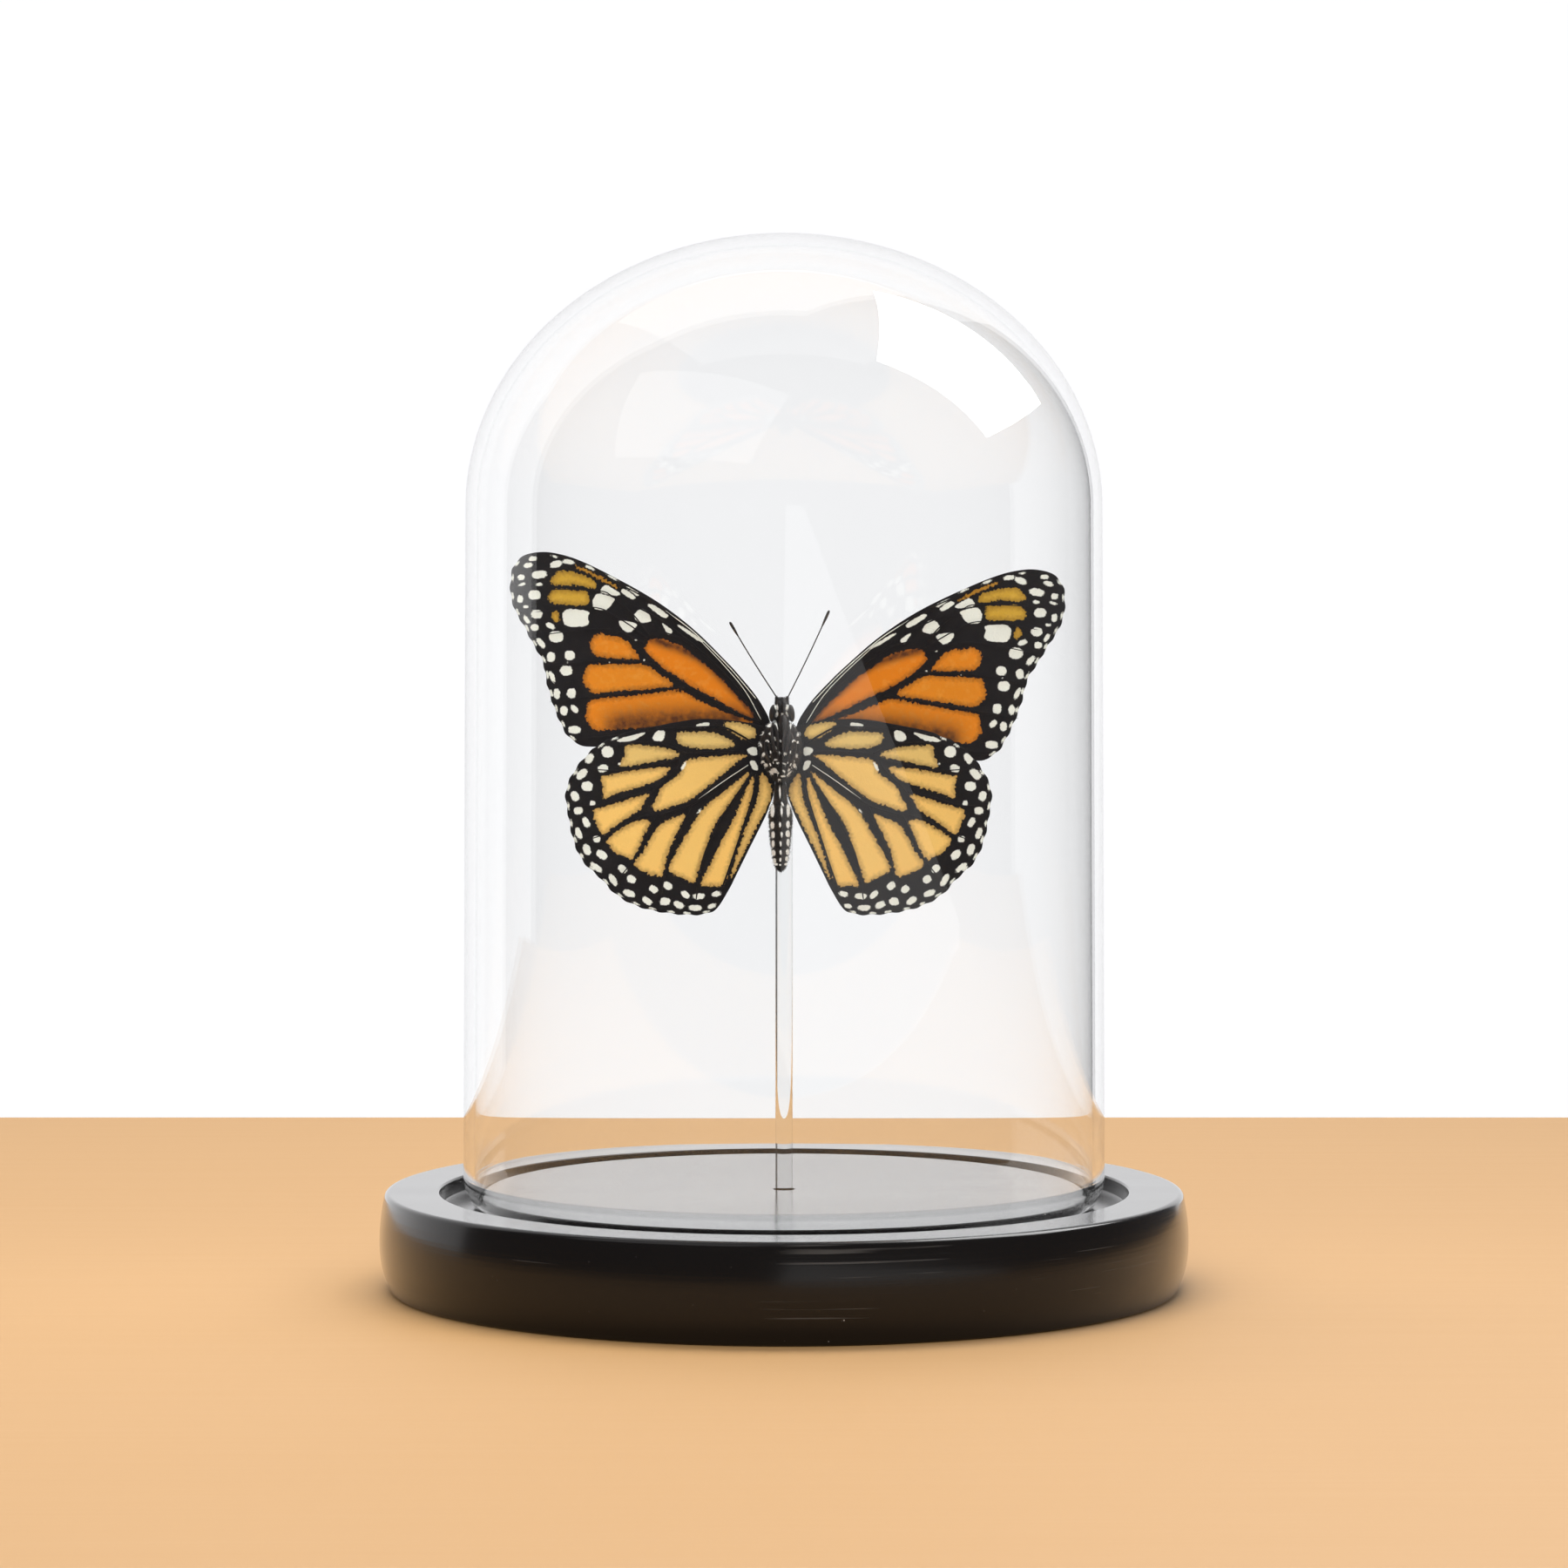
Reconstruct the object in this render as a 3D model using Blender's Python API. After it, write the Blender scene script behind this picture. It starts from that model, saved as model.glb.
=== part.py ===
"""A butterfly on a clear rod under a glass dome, on a turned wooden base.

Metres, +Z up. The butterfly's underside faces the front, which is -Y. "left" and "right"
are the viewer's, from the front. The origin is the middle of the base's underside.
"""
import math

import bmesh
import bpy
from mathutils import Matrix, Vector

MM = 0.001
GAP = 0.3 * MM                      # clearance between pieces that touch

# Base: one turned disc with a ring groove for the dome and a blind hole for the rod.
BASE_HEIGHT = 17.0 * MM
BASE_BELLY_RADIUS = 70.0 * MM
BASE_TOP_RADIUS = 68.3 * MM
BASE_FOOT_RADIUS = 67.4 * MM
BASE_EDGE_ROUND = 0.9 * MM
GROOVE_INNER_RADIUS = 52.2 * MM
GROOVE_OUTER_RADIUS = 59.6 * MM
GROOVE_DEPTH = 3.0 * MM
GROOVE_LIP = 0.35 * MM
BASE_SEGMENTS = 64

# Dome: a straight, slightly tapered wall, an elliptic crown and a rim that curls inwards.
DOME_TOP = 182.0 * MM
DOME_SHOULDER = 135.0 * MM
DOME_SHOULDER_RADIUS = 54.8 * MM
DOME_FOOT_RADIUS = 55.5 * MM
DOME_CURL_HEIGHT = 5.2 * MM
DOME_RIM_INNER_RADIUS = GROOVE_INNER_RADIUS + GAP
DOME_RIM_OUTER_RADIUS = 53.9 * MM
DOME_WALL = 2.0 * MM
DOME_CROWN_STEPS = 9
DOME_SEGMENTS = 56

# Rod: stands in the blind hole and ends behind the thorax.
ROD_RADIUS = 1.5 * MM
ROD_HOLE_DEPTH = 8.0 * MM
ROD_TOP = 96.8 * MM
ROD_SEGMENTS = 24

# Butterfly: lengths are laid out in millimetres from the middle of the thorax,
# (across, up), with across growing outwards from the body's axis.
BODY_X = -0.6 * MM
BODY_Z = 94.3 * MM
THORAX_BACK = ROD_RADIUS + GAP
BODY_SEGMENTS = 16
WING_THICKNESS = 0.3 * MM
FOREWING_Y = -3.1 * MM
HINDWING_Y = -3.9 * MM
WING_SWEEP = math.radians(2.0)      # the wing tips lie this much behind the wing roots
FOREWING_HINGE = (2.6, 3.2)
FOREWING_SET = {                    # turn down at the hinge, shift (across, up), stretch
    "left": (0.0, (0.0, 0.0), 1.011),
    "right": (math.radians(3.7), (1.0, -0.5), 1.011),
}
HINDWING_SET = {
    "left": (0.0, (0.0, 0.0), 1.011),
    "right": (0.0, (0.0, 0.0), 0.993),
}
OUTLINE_STEPS = 2

# Rings of the body, from the top down: up, half width, half depth.
THORAX_DEPTH = 3.1 * MM
THORAX_RINGS = [
    (3.9, 1.3, 1.2), (3.3, 2.2, 2.0), (2.2, 2.9, 2.6), (0.8, 3.45, 3.0), (-1.0, 3.7, 3.1),
    (-2.6, 3.4, 3.0), (-4.2, 2.65, 2.5), (-5.6, 1.75, 1.9), (-6.6, 0.9, 1.2),
]
HEAD_Y = -4.6 * MM
HEAD_RINGS = [
    (8.1, 0.9, 0.7), (7.5, 1.5, 1.4), (6.6, 2.0, 1.9), (5.6, 2.1, 2.0), (4.8, 1.8, 1.6),
    (4.25, 1.1, 1.0),
]
ABDOMEN_Y = -4.4 * MM
ABDOMEN_RINGS = [
    (-6.95, 0.8, 0.9), (-8.2, 1.1, 1.2), (-9.7, 1.2, 1.4), (-11.0, 1.75, 1.75),
    (-12.3, 2.0, 1.95), (-14.0, 1.95, 1.9), (-15.7, 1.85, 1.8), (-17.2, 1.7, 1.65),
    (-18.7, 1.5, 1.5), (-20.3, 1.2, 1.2), (-21.4, 0.8, 0.8), (-22.0, 0.35, 0.35),
]

# Wing outlines, once round, starting at the root.
FOREWING_OUTLINE = [
    (1.9, 3.0), (2.1, 4.4), (3.0, 6.2), (4.4, 8.4), (6.6, 11.1), (9.1, 13.9), (14.7, 19.5),
    (21.1, 24.4), (28.4, 28.6), (34.4, 31.5), (38.6, 32.7), (41.5, 32.8), (44.0, 32.1),
    (45.6, 30.3), (46.1, 26.6), (45.4, 23.3), (43.7, 20.2), (42.0, 16.9), (40.5, 14.1),
    (39.8, 10.4), (38.8, 6.9), (37.5, 3.6), (36.2, 1.3), (34.4, 0.0), (32.2, -0.4),
    (25.0, -0.2), (15.0, 0.9), (6.5, 1.8), (3.0, 1.9),
]
HINDWING_OUTLINE = [
    (3.1, 2.7), (4.6, 3.4), (7.8, 3.9), (13.8, 4.2), (20.6, 3.1), (26.6, 1.8), (30.7, 0.0),
    (33.5, -2.5), (35.6, -5.5), (36.6, -8.6), (36.2, -12.0), (35.6, -15.3), (34.6, -18.5),
    (33.1, -20.9), (30.6, -23.2), (27.9, -26.0), (24.2, -28.0), (19.3, -29.1),
    (14.2, -29.4), (11.3, -28.6), (9.0, -25.2), (7.4, -22.0), (5.45, -18.0), (3.5, -14.1),
    (2.6, -12.0), (2.0, -10.4), (1.5, -9.0), (1.4, -7.6), (1.7, -6.2), (2.6, -4.6),
    (3.5, -3.0), (3.8, -1.0), (3.6, 1.0),
]

# Antennae: foot and tip, (across, up), with the tip's side growing outwards.
ANTENNA_FEET = {"left": (0.65, 8.35), "right": (1.45, 8.45)}
ANTENNA_TIPS = {"left": (8.7, 21.0), "right": (8.35, 23.0)}
ANTENNA_BOW = 0.12
ANTENNA_Y = -4.6 * MM
ANTENNA_TIP_Y = -6.0 * MM
ANTENNA_RADIUS = 0.13 * MM
ANTENNA_CLUB_RADIUS = 0.26 * MM
ANTENNA_CLUB_LENGTH = 0.13          # share of the antenna's length
ANTENNA_POINTS = 12

# Folded legs, laid on the front of the thorax: points as (across, up).
LEG_RADIUS = 0.27 * MM
LEG_PATHS = {
    1: [(0.95, -1.2), (1.35, 0.9), (1.45, 2.9), (0.95, 3.2), (0.5, 1.2), (0.4, -2.6)],
    2: [(1.5, -4.0), (2.3, -1.7), (2.55, 0.4), (2.1, 0.7), (1.65, -1.4), (1.2, -3.2)],
}


def remove_everything():
    for obj in list(bpy.data.objects):
        bpy.data.objects.remove(obj, do_unlink=True)


def make_material(name, colour, roughness, metallic=0.0, transmission=0.0):
    material = bpy.data.materials.new(name)
    material.use_nodes = True
    shader = material.node_tree.nodes["Principled BSDF"]
    shader.inputs["Base Color"].default_value = (*colour, 1.0)
    shader.inputs["Roughness"].default_value = roughness
    shader.inputs["Metallic"].default_value = metallic
    shader.inputs["Transmission Weight"].default_value = transmission
    material.diffuse_color = (*colour, 1.0)
    return material


def add_object(name, bm, material, sharp_angle=math.radians(35)):
    """Turn a bmesh into an object, shaded smooth except at sharp edges."""
    bmesh.ops.recalc_face_normals(bm, faces=bm.faces)
    mesh = bpy.data.meshes.new(name)
    bm.to_mesh(mesh)
    bm.free()
    mesh.shade_smooth()
    mesh.set_sharp_from_angle(angle=sharp_angle)
    mesh.materials.append(material)
    obj = bpy.data.objects.new(name, mesh)
    bpy.context.scene.collection.objects.link(obj)
    return obj


def add_turned(name, profile, segments, material):
    """Spin a profile of (radius, height) points, whose two ends are on the axis."""
    bm = bmesh.new()
    verts = [bm.verts.new((radius, 0.0, height)) for radius, height in profile]
    edges = [bm.edges.new(pair) for pair in zip(verts, verts[1:])]
    bmesh.ops.spin(
        bm, geom=verts + edges, cent=(0, 0, 0), axis=(0, 0, 1),
        angle=math.tau, steps=segments, use_merge=True,
    )
    bmesh.ops.remove_doubles(bm, verts=bm.verts, dist=0.001 * MM)
    return add_object(name, bm, material)


def add_lofted(name, rings, centre_y, material):
    """Skin a stack of ellipses, (up, half width, half depth) in mm, on the body's axis."""
    bm = bmesh.new()
    loops = []
    for up, half_width, half_depth in rings:
        place = Matrix.Translation((BODY_X, centre_y, BODY_Z + up * MM))
        shape = Matrix.Diagonal((half_width * MM, half_depth * MM, 1.0, 1.0))
        circle = bmesh.ops.create_circle(
            bm, segments=BODY_SEGMENTS, radius=1.0, matrix=place @ shape)
        ring = circle["verts"]
        loops.append([edge for edge in bm.edges if all(v in ring for v in edge.verts)])
    for upper, lower in zip(loops, loops[1:]):
        bmesh.ops.bridge_loops(bm, edges=upper + lower)
    for end in (loops[0], loops[-1]):
        bmesh.ops.contextual_create(bm, geom=end)
    return add_object(name, bm, material)


def smooth_loop(points, steps):
    """Points along the closed Catmull-Rom curve through the given points."""
    count = len(points)
    out = []
    for i in range(count):
        a, b, c, d = (Vector(points[(i + k) % count]) for k in (-1, 0, 1, 2))
        for step in range(steps):
            t = step / steps
            out.append(0.5 * (2 * b + (c - a) * t + (2 * a - 5 * b + 4 * c - d) * t ** 2
                              + (3 * b - a - 3 * c + d) * t ** 3))
    return out


def add_wing(name, outline, side, centre_y, setting, material):
    """Cut a thin plate to the outline, set it at its hinge and sweep it back."""
    drop, shift, stretch = setting
    hinge = Vector(FOREWING_HINGE)
    turn = Matrix.Rotation(-drop, 2)
    bm = bmesh.new()
    verts = []
    for point in smooth_loop(outline, OUTLINE_STEPS):
        across, up = hinge + turn @ (point - hinge) + Vector(shift)
        depth = across * MM * math.tan(WING_SWEEP)
        x = BODY_X + side * stretch * across * MM
        place = (x, centre_y + depth, BODY_Z + up * MM)
        verts.append(bm.verts.new(place))
    face = bm.faces.new(verts)
    back = bmesh.ops.extrude_face_region(bm, geom=[face])["geom"]
    moved = [item for item in back if isinstance(item, bmesh.types.BMVert)]
    bmesh.ops.translate(bm, verts=moved, vec=(0, WING_THICKNESS, 0))
    return add_object(name, bm, material)


def add_tube(name, points, radii, material):
    """A round tube through the points, with its own radius at each and closed ends."""
    curve = bpy.data.curves.new(name, "CURVE")
    curve.dimensions = "3D"
    curve.bevel_depth = max(radii)
    curve.bevel_resolution = 2
    curve.use_fill_caps = True
    spline = curve.splines.new("POLY")
    spline.points.add(len(points) - 1)
    for item, point, radius in zip(spline.points, points, radii):
        item.co = (*point, 1.0)
        item.radius = radius / max(radii)
    curve.materials.append(material)
    obj = bpy.data.objects.new(name, curve)
    bpy.context.scene.collection.objects.link(obj)
    return obj


def base_profile():
    """Outside of the base from the middle of its underside round to the rod's hole."""
    top = BASE_HEIGHT
    groove_floor = top - GROOVE_DEPTH
    hole = ROD_RADIUS + GAP
    return [
        (0.0, 0.0),
        (BASE_FOOT_RADIUS - BASE_EDGE_ROUND, 0.0),
        (BASE_FOOT_RADIUS, 0.3 * BASE_EDGE_ROUND),
        (BASE_FOOT_RADIUS + 0.8 * MM, 1.6 * MM),
        (BASE_BELLY_RADIUS - 0.5 * MM, 0.27 * top),
        (BASE_BELLY_RADIUS, 0.5 * top),
        (BASE_BELLY_RADIUS - 0.25 * MM, 0.7 * top),
        (BASE_BELLY_RADIUS - 0.8 * MM, top - 2.0 * BASE_EDGE_ROUND),
        (BASE_TOP_RADIUS + 0.5 * MM, top - 0.6 * BASE_EDGE_ROUND),
        (BASE_TOP_RADIUS, top),
        (GROOVE_OUTER_RADIUS + GROOVE_LIP, top),
        (GROOVE_OUTER_RADIUS, top - GROOVE_LIP),
        (GROOVE_OUTER_RADIUS, groove_floor),
        (GROOVE_INNER_RADIUS, groove_floor),
        (GROOVE_INNER_RADIUS, top - GROOVE_LIP),
        (GROOVE_INNER_RADIUS - GROOVE_LIP, top),
        (hole, top),
        (hole, top - ROD_HOLE_DEPTH),
        (0.0, top - ROD_HOLE_DEPTH),
    ]


def crown(radius, height):
    """Quarter ellipse from the dome's axis down to its shoulder."""
    points = []
    for step in range(DOME_CROWN_STEPS + 1):
        angle = 0.5 * math.pi * step / DOME_CROWN_STEPS
        points.append((radius * math.sin(angle), DOME_SHOULDER + height * math.cos(angle)))
    return points


def dome_profile():
    """Outside of the dome from its top down, round its rim and up the inside."""
    rim = BASE_HEIGHT - GROOVE_DEPTH + GAP
    curl = rim + DOME_CURL_HEIGHT
    crown_height = DOME_TOP - DOME_SHOULDER
    bead = 0.5 * (DOME_RIM_OUTER_RADIUS - DOME_RIM_INNER_RADIUS)
    outside = crown(DOME_SHOULDER_RADIUS, crown_height)
    inside = crown(DOME_SHOULDER_RADIUS - DOME_WALL, crown_height - DOME_WALL)
    rim_points = [
        (DOME_FOOT_RADIUS, curl),
        (DOME_FOOT_RADIUS - 0.35 * MM, rim + 0.65 * DOME_CURL_HEIGHT),
        (DOME_RIM_OUTER_RADIUS, rim + bead),
        (DOME_RIM_INNER_RADIUS + bead, rim),
        (DOME_RIM_INNER_RADIUS, rim + bead),
        (DOME_FOOT_RADIUS - DOME_WALL, curl),
    ]
    return outside + rim_points + inside[::-1]


def rod_profile():
    foot = BASE_HEIGHT - ROD_HOLE_DEPTH + GAP
    return [(0.0, foot), (ROD_RADIUS, foot), (ROD_RADIUS, ROD_TOP), (0.0, ROD_TOP)]


def thorax_front(across, up):
    """Depth of the thorax's front surface at a point of its front view, in metres."""
    centre = -THORAX_BACK - THORAX_DEPTH
    for (up_a, width_a, depth_a), (up_b, width_b, depth_b) in zip(THORAX_RINGS, THORAX_RINGS[1:]):
        if up_b <= up <= up_a:
            share = (up_a - up) / (up_a - up_b)
            width = width_a + (width_b - width_a) * share
            depth = depth_a + (depth_b - depth_a) * share
            return centre - depth * MM * math.sqrt(max(0.0, 1 - (across / width) ** 2))
    return centre


def leg_points(path, side):
    reach = LEG_RADIUS + 2 * GAP
    return [
        (BODY_X + side * across * MM, thorax_front(across, up) - reach, BODY_Z + up * MM)
        for across, up in path
    ]


def antenna_points(side_name, side):
    """Points and radii of an antenna, which bows slightly and swells into a club."""
    foot = Vector(ANTENNA_FEET[side_name])
    tip = Vector(ANTENNA_TIPS[side_name])
    outwards = Vector((tip.y - foot.y, foot.x - tip.x)).normalized()
    points = []
    radii = []
    for step in range(ANTENNA_POINTS):
        share = step / (ANTENNA_POINTS - 1)
        across, up = foot.lerp(tip, share) + outwards * ANTENNA_BOW * math.sin(math.pi * share)
        depth = ANTENNA_Y + (ANTENNA_TIP_Y - ANTENNA_Y) * share
        points.append((BODY_X + side * across * MM, depth, BODY_Z + up * MM))
        club = max(0.0, 1 - abs(share - 0.95) / ANTENNA_CLUB_LENGTH)
        radii.append(ANTENNA_RADIUS + (ANTENNA_CLUB_RADIUS - ANTENNA_RADIUS) * club)
    return points, radii


def build_holder():
    paint = make_material("black_paint", (0.012, 0.012, 0.013), 0.38)
    glass = make_material("dome_glass", (0.97, 0.98, 0.98), 0.02, transmission=1.0)
    clear_rod = make_material("rod_glass", (0.95, 0.96, 0.97), 0.03, transmission=1.0)
    add_turned("base", base_profile(), BASE_SEGMENTS, paint)
    add_turned("dome", dome_profile(), DOME_SEGMENTS, glass)
    add_turned("rod", rod_profile(), ROD_SEGMENTS, clear_rod)


def build_butterfly():
    body_scales = make_material("body_scales", (0.02, 0.018, 0.017), 0.8)
    leg_shell = make_material("leg_shell", (0.012, 0.011, 0.011), 0.45)
    forewing_scales = make_material("forewing_scales", (0.62, 0.2, 0.02), 0.75)
    hindwing_scales = make_material("hindwing_scales", (0.78, 0.45, 0.12), 0.75)
    add_lofted("thorax", THORAX_RINGS, -THORAX_BACK - THORAX_DEPTH, body_scales)
    add_lofted("head", HEAD_RINGS, HEAD_Y, body_scales)
    add_lofted("abdomen", ABDOMEN_RINGS, ABDOMEN_Y, body_scales)
    for side_name, side in (("left", -1), ("right", 1)):
        add_wing(f"forewing_{side_name}", FOREWING_OUTLINE, side, FOREWING_Y,
                 FOREWING_SET[side_name], forewing_scales)
        add_wing(f"hindwing_{side_name}", HINDWING_OUTLINE, side, HINDWING_Y,
                 HINDWING_SET[side_name], hindwing_scales)
        points, radii = antenna_points(side_name, side)
        add_tube(f"antenna_{side_name}", points, radii, leg_shell)
        for number, path in LEG_PATHS.items():
            points = leg_points(path, side)
            add_tube(f"leg_{side_name}_{number}", points, [LEG_RADIUS] * len(points), leg_shell)


remove_everything()
build_holder()
build_butterfly()
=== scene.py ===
"""A butterfly on a clear rod under a glass dome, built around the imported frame.

Metres, +Z up, front towards -Y. The butterfly's own measures are in millimetres from the
middle of its thorax: (across, up), with across growing outwards from the body's axis.
"""
import math
import random

import bpy
import numpy as np
from bpy.props import FloatProperty, FloatVectorProperty, IntProperty, PointerProperty
from mathutils import Matrix, Vector


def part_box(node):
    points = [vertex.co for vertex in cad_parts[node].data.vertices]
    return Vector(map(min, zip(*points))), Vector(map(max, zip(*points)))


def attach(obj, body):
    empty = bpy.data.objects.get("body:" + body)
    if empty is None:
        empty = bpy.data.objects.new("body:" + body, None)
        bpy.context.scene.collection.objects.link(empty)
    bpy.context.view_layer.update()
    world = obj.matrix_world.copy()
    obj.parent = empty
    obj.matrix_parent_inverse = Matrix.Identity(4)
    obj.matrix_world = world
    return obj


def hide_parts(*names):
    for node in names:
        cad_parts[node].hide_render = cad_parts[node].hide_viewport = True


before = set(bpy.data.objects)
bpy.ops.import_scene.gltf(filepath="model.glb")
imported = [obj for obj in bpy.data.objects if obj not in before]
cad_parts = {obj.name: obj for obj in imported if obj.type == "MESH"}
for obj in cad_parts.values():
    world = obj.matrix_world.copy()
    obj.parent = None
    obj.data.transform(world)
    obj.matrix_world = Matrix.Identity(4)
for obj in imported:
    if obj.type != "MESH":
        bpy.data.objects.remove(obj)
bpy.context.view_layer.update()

bl_info = {
    "name": "Butterfly under glass",
    "version": (1, 0, 0),
    "blender": (4, 5, 0),
    "location": "View3D > Sidebar > Butterfly",
    "description": "Makes a mounted butterfly under a glass dome on a turned base",
    "category": "Object",
}

MM = 0.001
BODY = "root"
FAR = 9.0                           # millimetres, further than any marking reaches
SAME_PLACE = 1e-6                   # metres, closer than this two points are one
ON_AXIS = 1e-7                      # metres, closer than this a point is on the axis
SCALLOP = 3.1                       # millimetres from one scallop of a wing to the next
ROD_GAP = 0.3 * MM                  # between the rod and the hole that it stands in
LIGHT_AIM = Vector((0, 0, 0.11))    # the point that every light faces
ANTENNA_STEPS = 72                  # rings along each antenna, every other one thinner

# Where the frame's pieces are.
BASE_LOW, BASE_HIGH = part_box("base")
DOME_LOW, DOME_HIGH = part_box("dome")
ROD_LOW, ROD_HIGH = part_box("rod")
THORAX_LOW, THORAX_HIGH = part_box("thorax")
HEAD_LOW, HEAD_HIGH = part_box("head")
ABDOMEN_LOW, ABDOMEN_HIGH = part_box("abdomen")
THORAX_TOP = 3.9                    # millimetres above the middle of the thorax
BODY_X = 0.5 * (THORAX_LOW.x + THORAX_HIGH.x)
BODY_Z = THORAX_HIGH.z - THORAX_TOP * MM
THORAX_Y = 0.5 * (THORAX_LOW.y + THORAX_HIGH.y)
HEAD_Y = 0.5 * (HEAD_LOW.y + HEAD_HIGH.y)
ABDOMEN_Y = 0.5 * (ABDOMEN_LOW.y + ABDOMEN_HIGH.y)
FOREWING_Y = -3.1                   # middle of each wing's thickness at its root
HINDWING_Y = -3.9
WING_SWEEP = math.tan(math.radians(2.0))
FOREWING_HINGE = np.array((2.6, 3.2))
WING_SETS = {                       # turn down at the hinge, shift (across, up), stretch
    "forewing_left": (0.0, (0.0, 0.0), 1.011),
    "forewing_right": (math.radians(3.7), (1.0, -0.5), 1.011),
    "hindwing_left": (0.0, (0.0, 0.0), 1.011),
    "hindwing_right": (0.0, (0.0, 0.0), 0.993),
}

# ---------------------------------------------------------------- the wings' drawing

FOREWING_OUTLINE = [
    (1.9, 3.0), (2.1, 4.4), (3.0, 6.2), (4.4, 8.4), (6.6, 11.1), (9.1, 13.9), (14.7, 19.5),
    (21.1, 24.4), (28.4, 28.6), (34.4, 31.5), (38.6, 32.7), (41.5, 32.8), (44.0, 32.1),
    (45.6, 30.3), (46.1, 26.6), (45.4, 23.3), (43.7, 20.2), (42.0, 16.9), (40.5, 14.1),
    (39.8, 10.4), (38.8, 6.9), (37.5, 3.6), (36.2, 1.3), (34.4, 0.0), (32.2, -0.4),
    (25.0, -0.2), (15.0, 0.9), (6.5, 1.8), (3.0, 1.9),
]
FOREWING_MARGIN = (12, 23)          # the outline points between which the edge is scalloped
FOREWING_CELLS = {                  # name: (tone from orange 0 to ochre 1, outline)
    "discal": (0.0, [
        (22.9, 15.9), (22.7, 17.2), (22.0, 18.0), (20.0, 18.0), (18.8, 17.5), (16.7, 16.7),
        (14.2, 14.7), (11.0, 12.1), (7.8, 8.7), (5.2, 5.9), (4.5, 4.3), (7.3, 5.5),
        (11.4, 7.9), (14.4, 9.6), (17.2, 11.2), (20.5, 13.5)]),
    "media_3": (0.12, [
        (32.1, 18.2), (30.5, 19.0), (29.5, 18.6), (27.6, 18.3), (26.1, 17.7), (25.3, 16.8),
        (24.1, 14.9), (24.6, 14.6), (27.1, 14.6), (29.8, 14.9), (31.3, 15.1), (32.1, 15.9),
        (32.3, 17.0)]),
    "cubitus_1": (0.16, [
        (33.6, 11.0), (32.8, 13.4), (31.5, 13.7), (27.1, 13.7), (23.2, 13.6), (20.8, 12.2),
        (18.3, 10.3), (20.0, 9.7), (27.1, 9.1), (31.5, 8.7), (32.8, 9.6)]),
    "cubitus_2": (0.08, [
        (33.1, 5.1), (32.8, 6.9), (31.5, 7.7), (27.1, 8.1), (22.2, 8.7), (17.3, 9.2),
        (14.1, 7.6), (9.0, 5.3), (4.7, 3.7), (11.4, 3.5), (17.0, 3.3), (22.2, 2.9),
        (28.0, 2.5), (31.5, 2.5), (33.0, 4.1)]),
    "apex_upper": (1.0, [
        (39.3, 28.0), (38.4, 29.1), (37.8, 29.6), (35.8, 29.6), (34.6, 29.3), (32.3, 28.5),
        (31.3, 27.6), (31.5, 26.7), (33.0, 26.9), (35.1, 27.3), (37.1, 27.2), (38.3, 27.3)]),
    "apex_middle": (1.0, [
        (39.5, 25.5), (38.6, 26.4), (36.4, 26.6), (34.0, 26.3), (32.6, 25.8), (32.9, 23.9),
        (35.2, 23.9), (38.3, 24.1), (39.3, 24.5)]),
    "apex_lower": (0.95, [
        (38.9, 22.3), (38.2, 22.9), (37.7, 22.0), (37.6, 21.2), (38.2, 20.9), (38.9, 21.5)]),
    "costal_streak": (0.7, [
        (34.6, 30.6), (31.0, 29.0), (28.0, 27.2), (27.6, 26.8), (28.4, 27.0), (31.4, 28.6),
        (34.4, 30.2)]),
}
FOREWING_PATCHES = [                # larger white patches
    [(30.6, 26.4), (30.0, 27.2), (29.3, 27.2), (27.3, 25.9), (27.6, 25.5), (28.3, 25.5),
     (30.3, 26.0)],
    [(31.9, 24.8), (31.1, 25.8), (29.6, 25.5), (28.2, 24.9), (28.7, 24.0), (29.6, 23.1),
     (31.0, 23.1), (31.8, 23.5)],
    [(37.1, 22.4), (36.2, 23.1), (34.6, 23.1), (32.6, 22.7), (32.8, 21.9), (32.6, 20.8),
     (33.5, 20.2), (36.1, 20.2), (36.9, 20.9)],
    [(27.1, 26.1), (26.5, 26.6), (24.7, 25.3), (25.3, 24.9)],
    [(26.2, 26.9), (25.8, 26.9), (24.1, 25.9), (24.4, 25.5)],
    [(24.9, 22.0), (24.0, 23.1), (22.9, 22.9), (22.0, 21.2), (23.8, 20.9)],
    [(27.4, 21.0), (26.1, 21.1), (24.4, 20.5), (25.6, 19.2), (26.8, 19.7)],
    [(22.5, 23.7), (21.8, 24.0), (19.2, 22.2), (19.9, 21.7)],
    [(20.1, 20.7), (18.7, 19.8), (18.4, 19.2), (19.1, 18.9)],
    [(17.4, 20.2), (16.7, 20.2), (13.2, 17.8), (14.0, 17.8)],
]
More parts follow.
